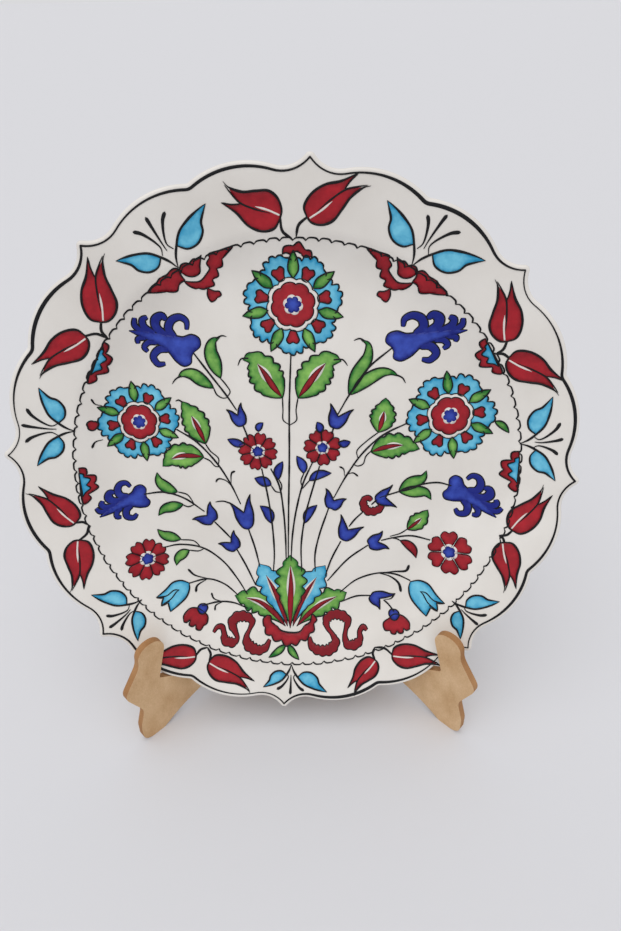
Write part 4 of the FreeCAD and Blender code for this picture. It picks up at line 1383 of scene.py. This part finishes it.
class PLATE_OT_palmette(bpy.types.Operator):
    """Paint the palmette, the red cup it stands in and the ribbons beside it"""
    bl_idname = "plate.palmette"
    bl_label = "Palmette and ribbons"

    def execute(self, context):
        painting = Painting()
        for spine, width, colour, teeth, rib_end, level in PALMETTE:
            ribbed_leaf(painting, spine, width, teeth, rib_end, colour, 0.68, level, level + 0.9)
        painting.shape("red", CUP, 6, 1.0, 8)
        for points in RIBBONS:
            painting.tendril(points, "red", scallop=3.4)
        for spine, width in FOOT_LEAVES:
            leaf(painting, spine, width)
        painting.pieces("palmette")
        return {"FINISHED"}


SHARP_EDGE = math.radians(40)   # edges that bend more than this are worn


class PLATE_OT_stand(bpy.types.Operator):
    """Finish the stand's boards and hinges"""
    bl_idname = "plate.stand"
    bl_label = "Folding stand"

    def execute(self, context):
        across = {side: (math.cos(HALF_OPENING), sign * math.sin(HALF_OPENING), 0.0)
                  for side, sign in (("left", -1), ("right", 1))}
        metal = brass()
        for name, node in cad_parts.items():
            if name.endswith("_board"):
                side = name.split("_")[0]
                material = fibreboard("Medium density fibreboard, raw, " + side + " board", across[side])
                bevel = context.scene.plate_sizes.board_edge
            elif "hinge" in name:
                material = metal
                bevel = context.scene.plate_sizes.metal_edge
            else:
                continue
            node.data.materials.clear()
            node.data.materials.append(material)
            soft = node.modifiers.new("worn edges", "BEVEL")
            soft.width = bevel
            soft.segments = 2
            soft.limit_method = "ANGLE"
            soft.angle_limit = SHARP_EDGE
            soft.harden_normals = True
        return {"FINISHED"}


FLOOR_SIDES = 96
STUDIO_WHITE = "#F0F0F2"
STUDIO_STRENGTH = 0.8
# (name, where it shines from, its spread in degrees, its strength)
LIGHTS = (("key", (-0.2, -0.3, 1.2), 60, 1.0), ("front", (-0.15, -1.0, 0.55), 60, 0.2))
LENS = 24.78                    # focal length, mm
SENSOR = 36.0                   # width, mm
CAMERA_PLACE = Vector((5.9, -265.8, 361.7))         # mm
CAMERA_RIGHT = Vector((0.9998, -0.0172, -0.0127))
CAMERA_DOWN = Vector((-0.0204, -0.596, -0.8027))


class PLATE_OT_stage(bpy.types.Operator):
    """Make the floor, the lights and the camera"""
    bl_idname = "plate.stage"
    bl_label = "Stage"

    def execute(self, context):
        mesh = bpy.data.meshes.new("floor")
        reach = context.scene.plate_sizes.floor_radius
        ring = [polar(reach, 2 * math.pi * k / FLOOR_SIDES).to_3d() for k in range(FLOOR_SIDES)]
        mesh.from_pydata(ring, [], [list(range(FLOOR_SIDES))])
        floor = bpy.data.objects.new("floor", mesh)
        context.scene.collection.objects.link(floor)
        material, tree, output = new_material("Paper, pale grey, matt")
        shader = add_node(tree, "ShaderNodeBsdfPrincipled",
                          {"Base Color": context.scene.plate_colours.floor, "Roughness": 0.75})
        tree.links.new(shader.outputs[0], output.inputs["Surface"])
        mesh.materials.append(material)
        world = bpy.data.worlds.new("studio")
        context.scene.world = world
        world.use_nodes = True
        background = world.node_tree.nodes["Background"]
        background.inputs["Color"].default_value = linear(STUDIO_WHITE)
        background.inputs["Strength"].default_value = STUDIO_STRENGTH
        for name, place, spread, power in LIGHTS:
            lamp = bpy.data.lights.new(name, "SUN")
            lamp.angle = math.radians(spread)
            lamp.energy = power
            light = bpy.data.objects.new(name, lamp)
            light.location = place
            light.rotation_mode = "QUATERNION"
            light.rotation_quaternion = (-Vector(place)).to_track_quat("-Z", "Y")
            context.scene.collection.objects.link(light)
        context.scene.view_settings.view_transform = "Standard"
        data = bpy.data.cameras.new("camera")
        data.lens = LENS
        data.sensor_width = SENSOR
        camera = bpy.data.objects.new("camera", data)
        ahead = CAMERA_RIGHT.cross(CAMERA_DOWN).normalized()
        down = ahead.cross(CAMERA_RIGHT).normalized()
        axes = Matrix((CAMERA_RIGHT.normalized(), -down, -ahead)).transposed()
        camera.matrix_world = Matrix.Translation(CAMERA_PLACE * MM) @ axes.to_4x4()
        context.scene.collection.objects.link(camera)
        context.scene.camera = camera
        return {"FINISHED"}


OPERATORS = (PLATE_OT_body, PLATE_OT_rim, PLATE_OT_tulips, PLATE_OT_rim_leaves, PLATE_OT_clouds,
             PLATE_OT_stems, PLATE_OT_leaves, PLATE_OT_buds, PLATE_OT_flowers, PLATE_OT_hyacinths,
             PLATE_OT_rosettes, PLATE_OT_palmette, PLATE_OT_stand, PLATE_OT_stage)


class PLATE_PT_panel(bpy.types.Panel):
    """Buttons that make the plate's pieces, one after another"""
    bl_idname = "PLATE_PT_panel"
    bl_label = "Painted plate"
    bl_space_type = "VIEW_3D"
    bl_region_type = "UI"
    bl_category = "Plate"

    def draw(self, context):
        column = self.layout.column(align=True)
        for kind in OPERATORS:
            column.operator(kind.bl_idname)
        for group in (context.scene.plate_sizes, context.scene.plate_colours):
            box = self.layout.box()
            for name in type(group).__annotations__:
                box.prop(group, name)


CLASSES = (PlateSizes, PlateColours) + OPERATORS + (PLATE_PT_panel,)


def register():
    """Make the pieces' operators, the panel and the settings known."""
    for kind in CLASSES:
        bpy.utils.register_class(kind)
    bpy.types.Scene.plate_sizes = PointerProperty(type=PlateSizes)
    bpy.types.Scene.plate_colours = PointerProperty(type=PlateColours)


def unregister():
    """Undo register."""
    del bpy.types.Scene.plate_colours
    del bpy.types.Scene.plate_sizes
    for kind in reversed(CLASSES):
        bpy.utils.unregister_class(kind)


def main():
    """Make every piece."""
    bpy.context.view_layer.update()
    register()
    for kind in OPERATORS:
        getattr(bpy.ops.plate, kind.bl_idname.split(".")[1])()


if __name__ == "__main__":
    main()
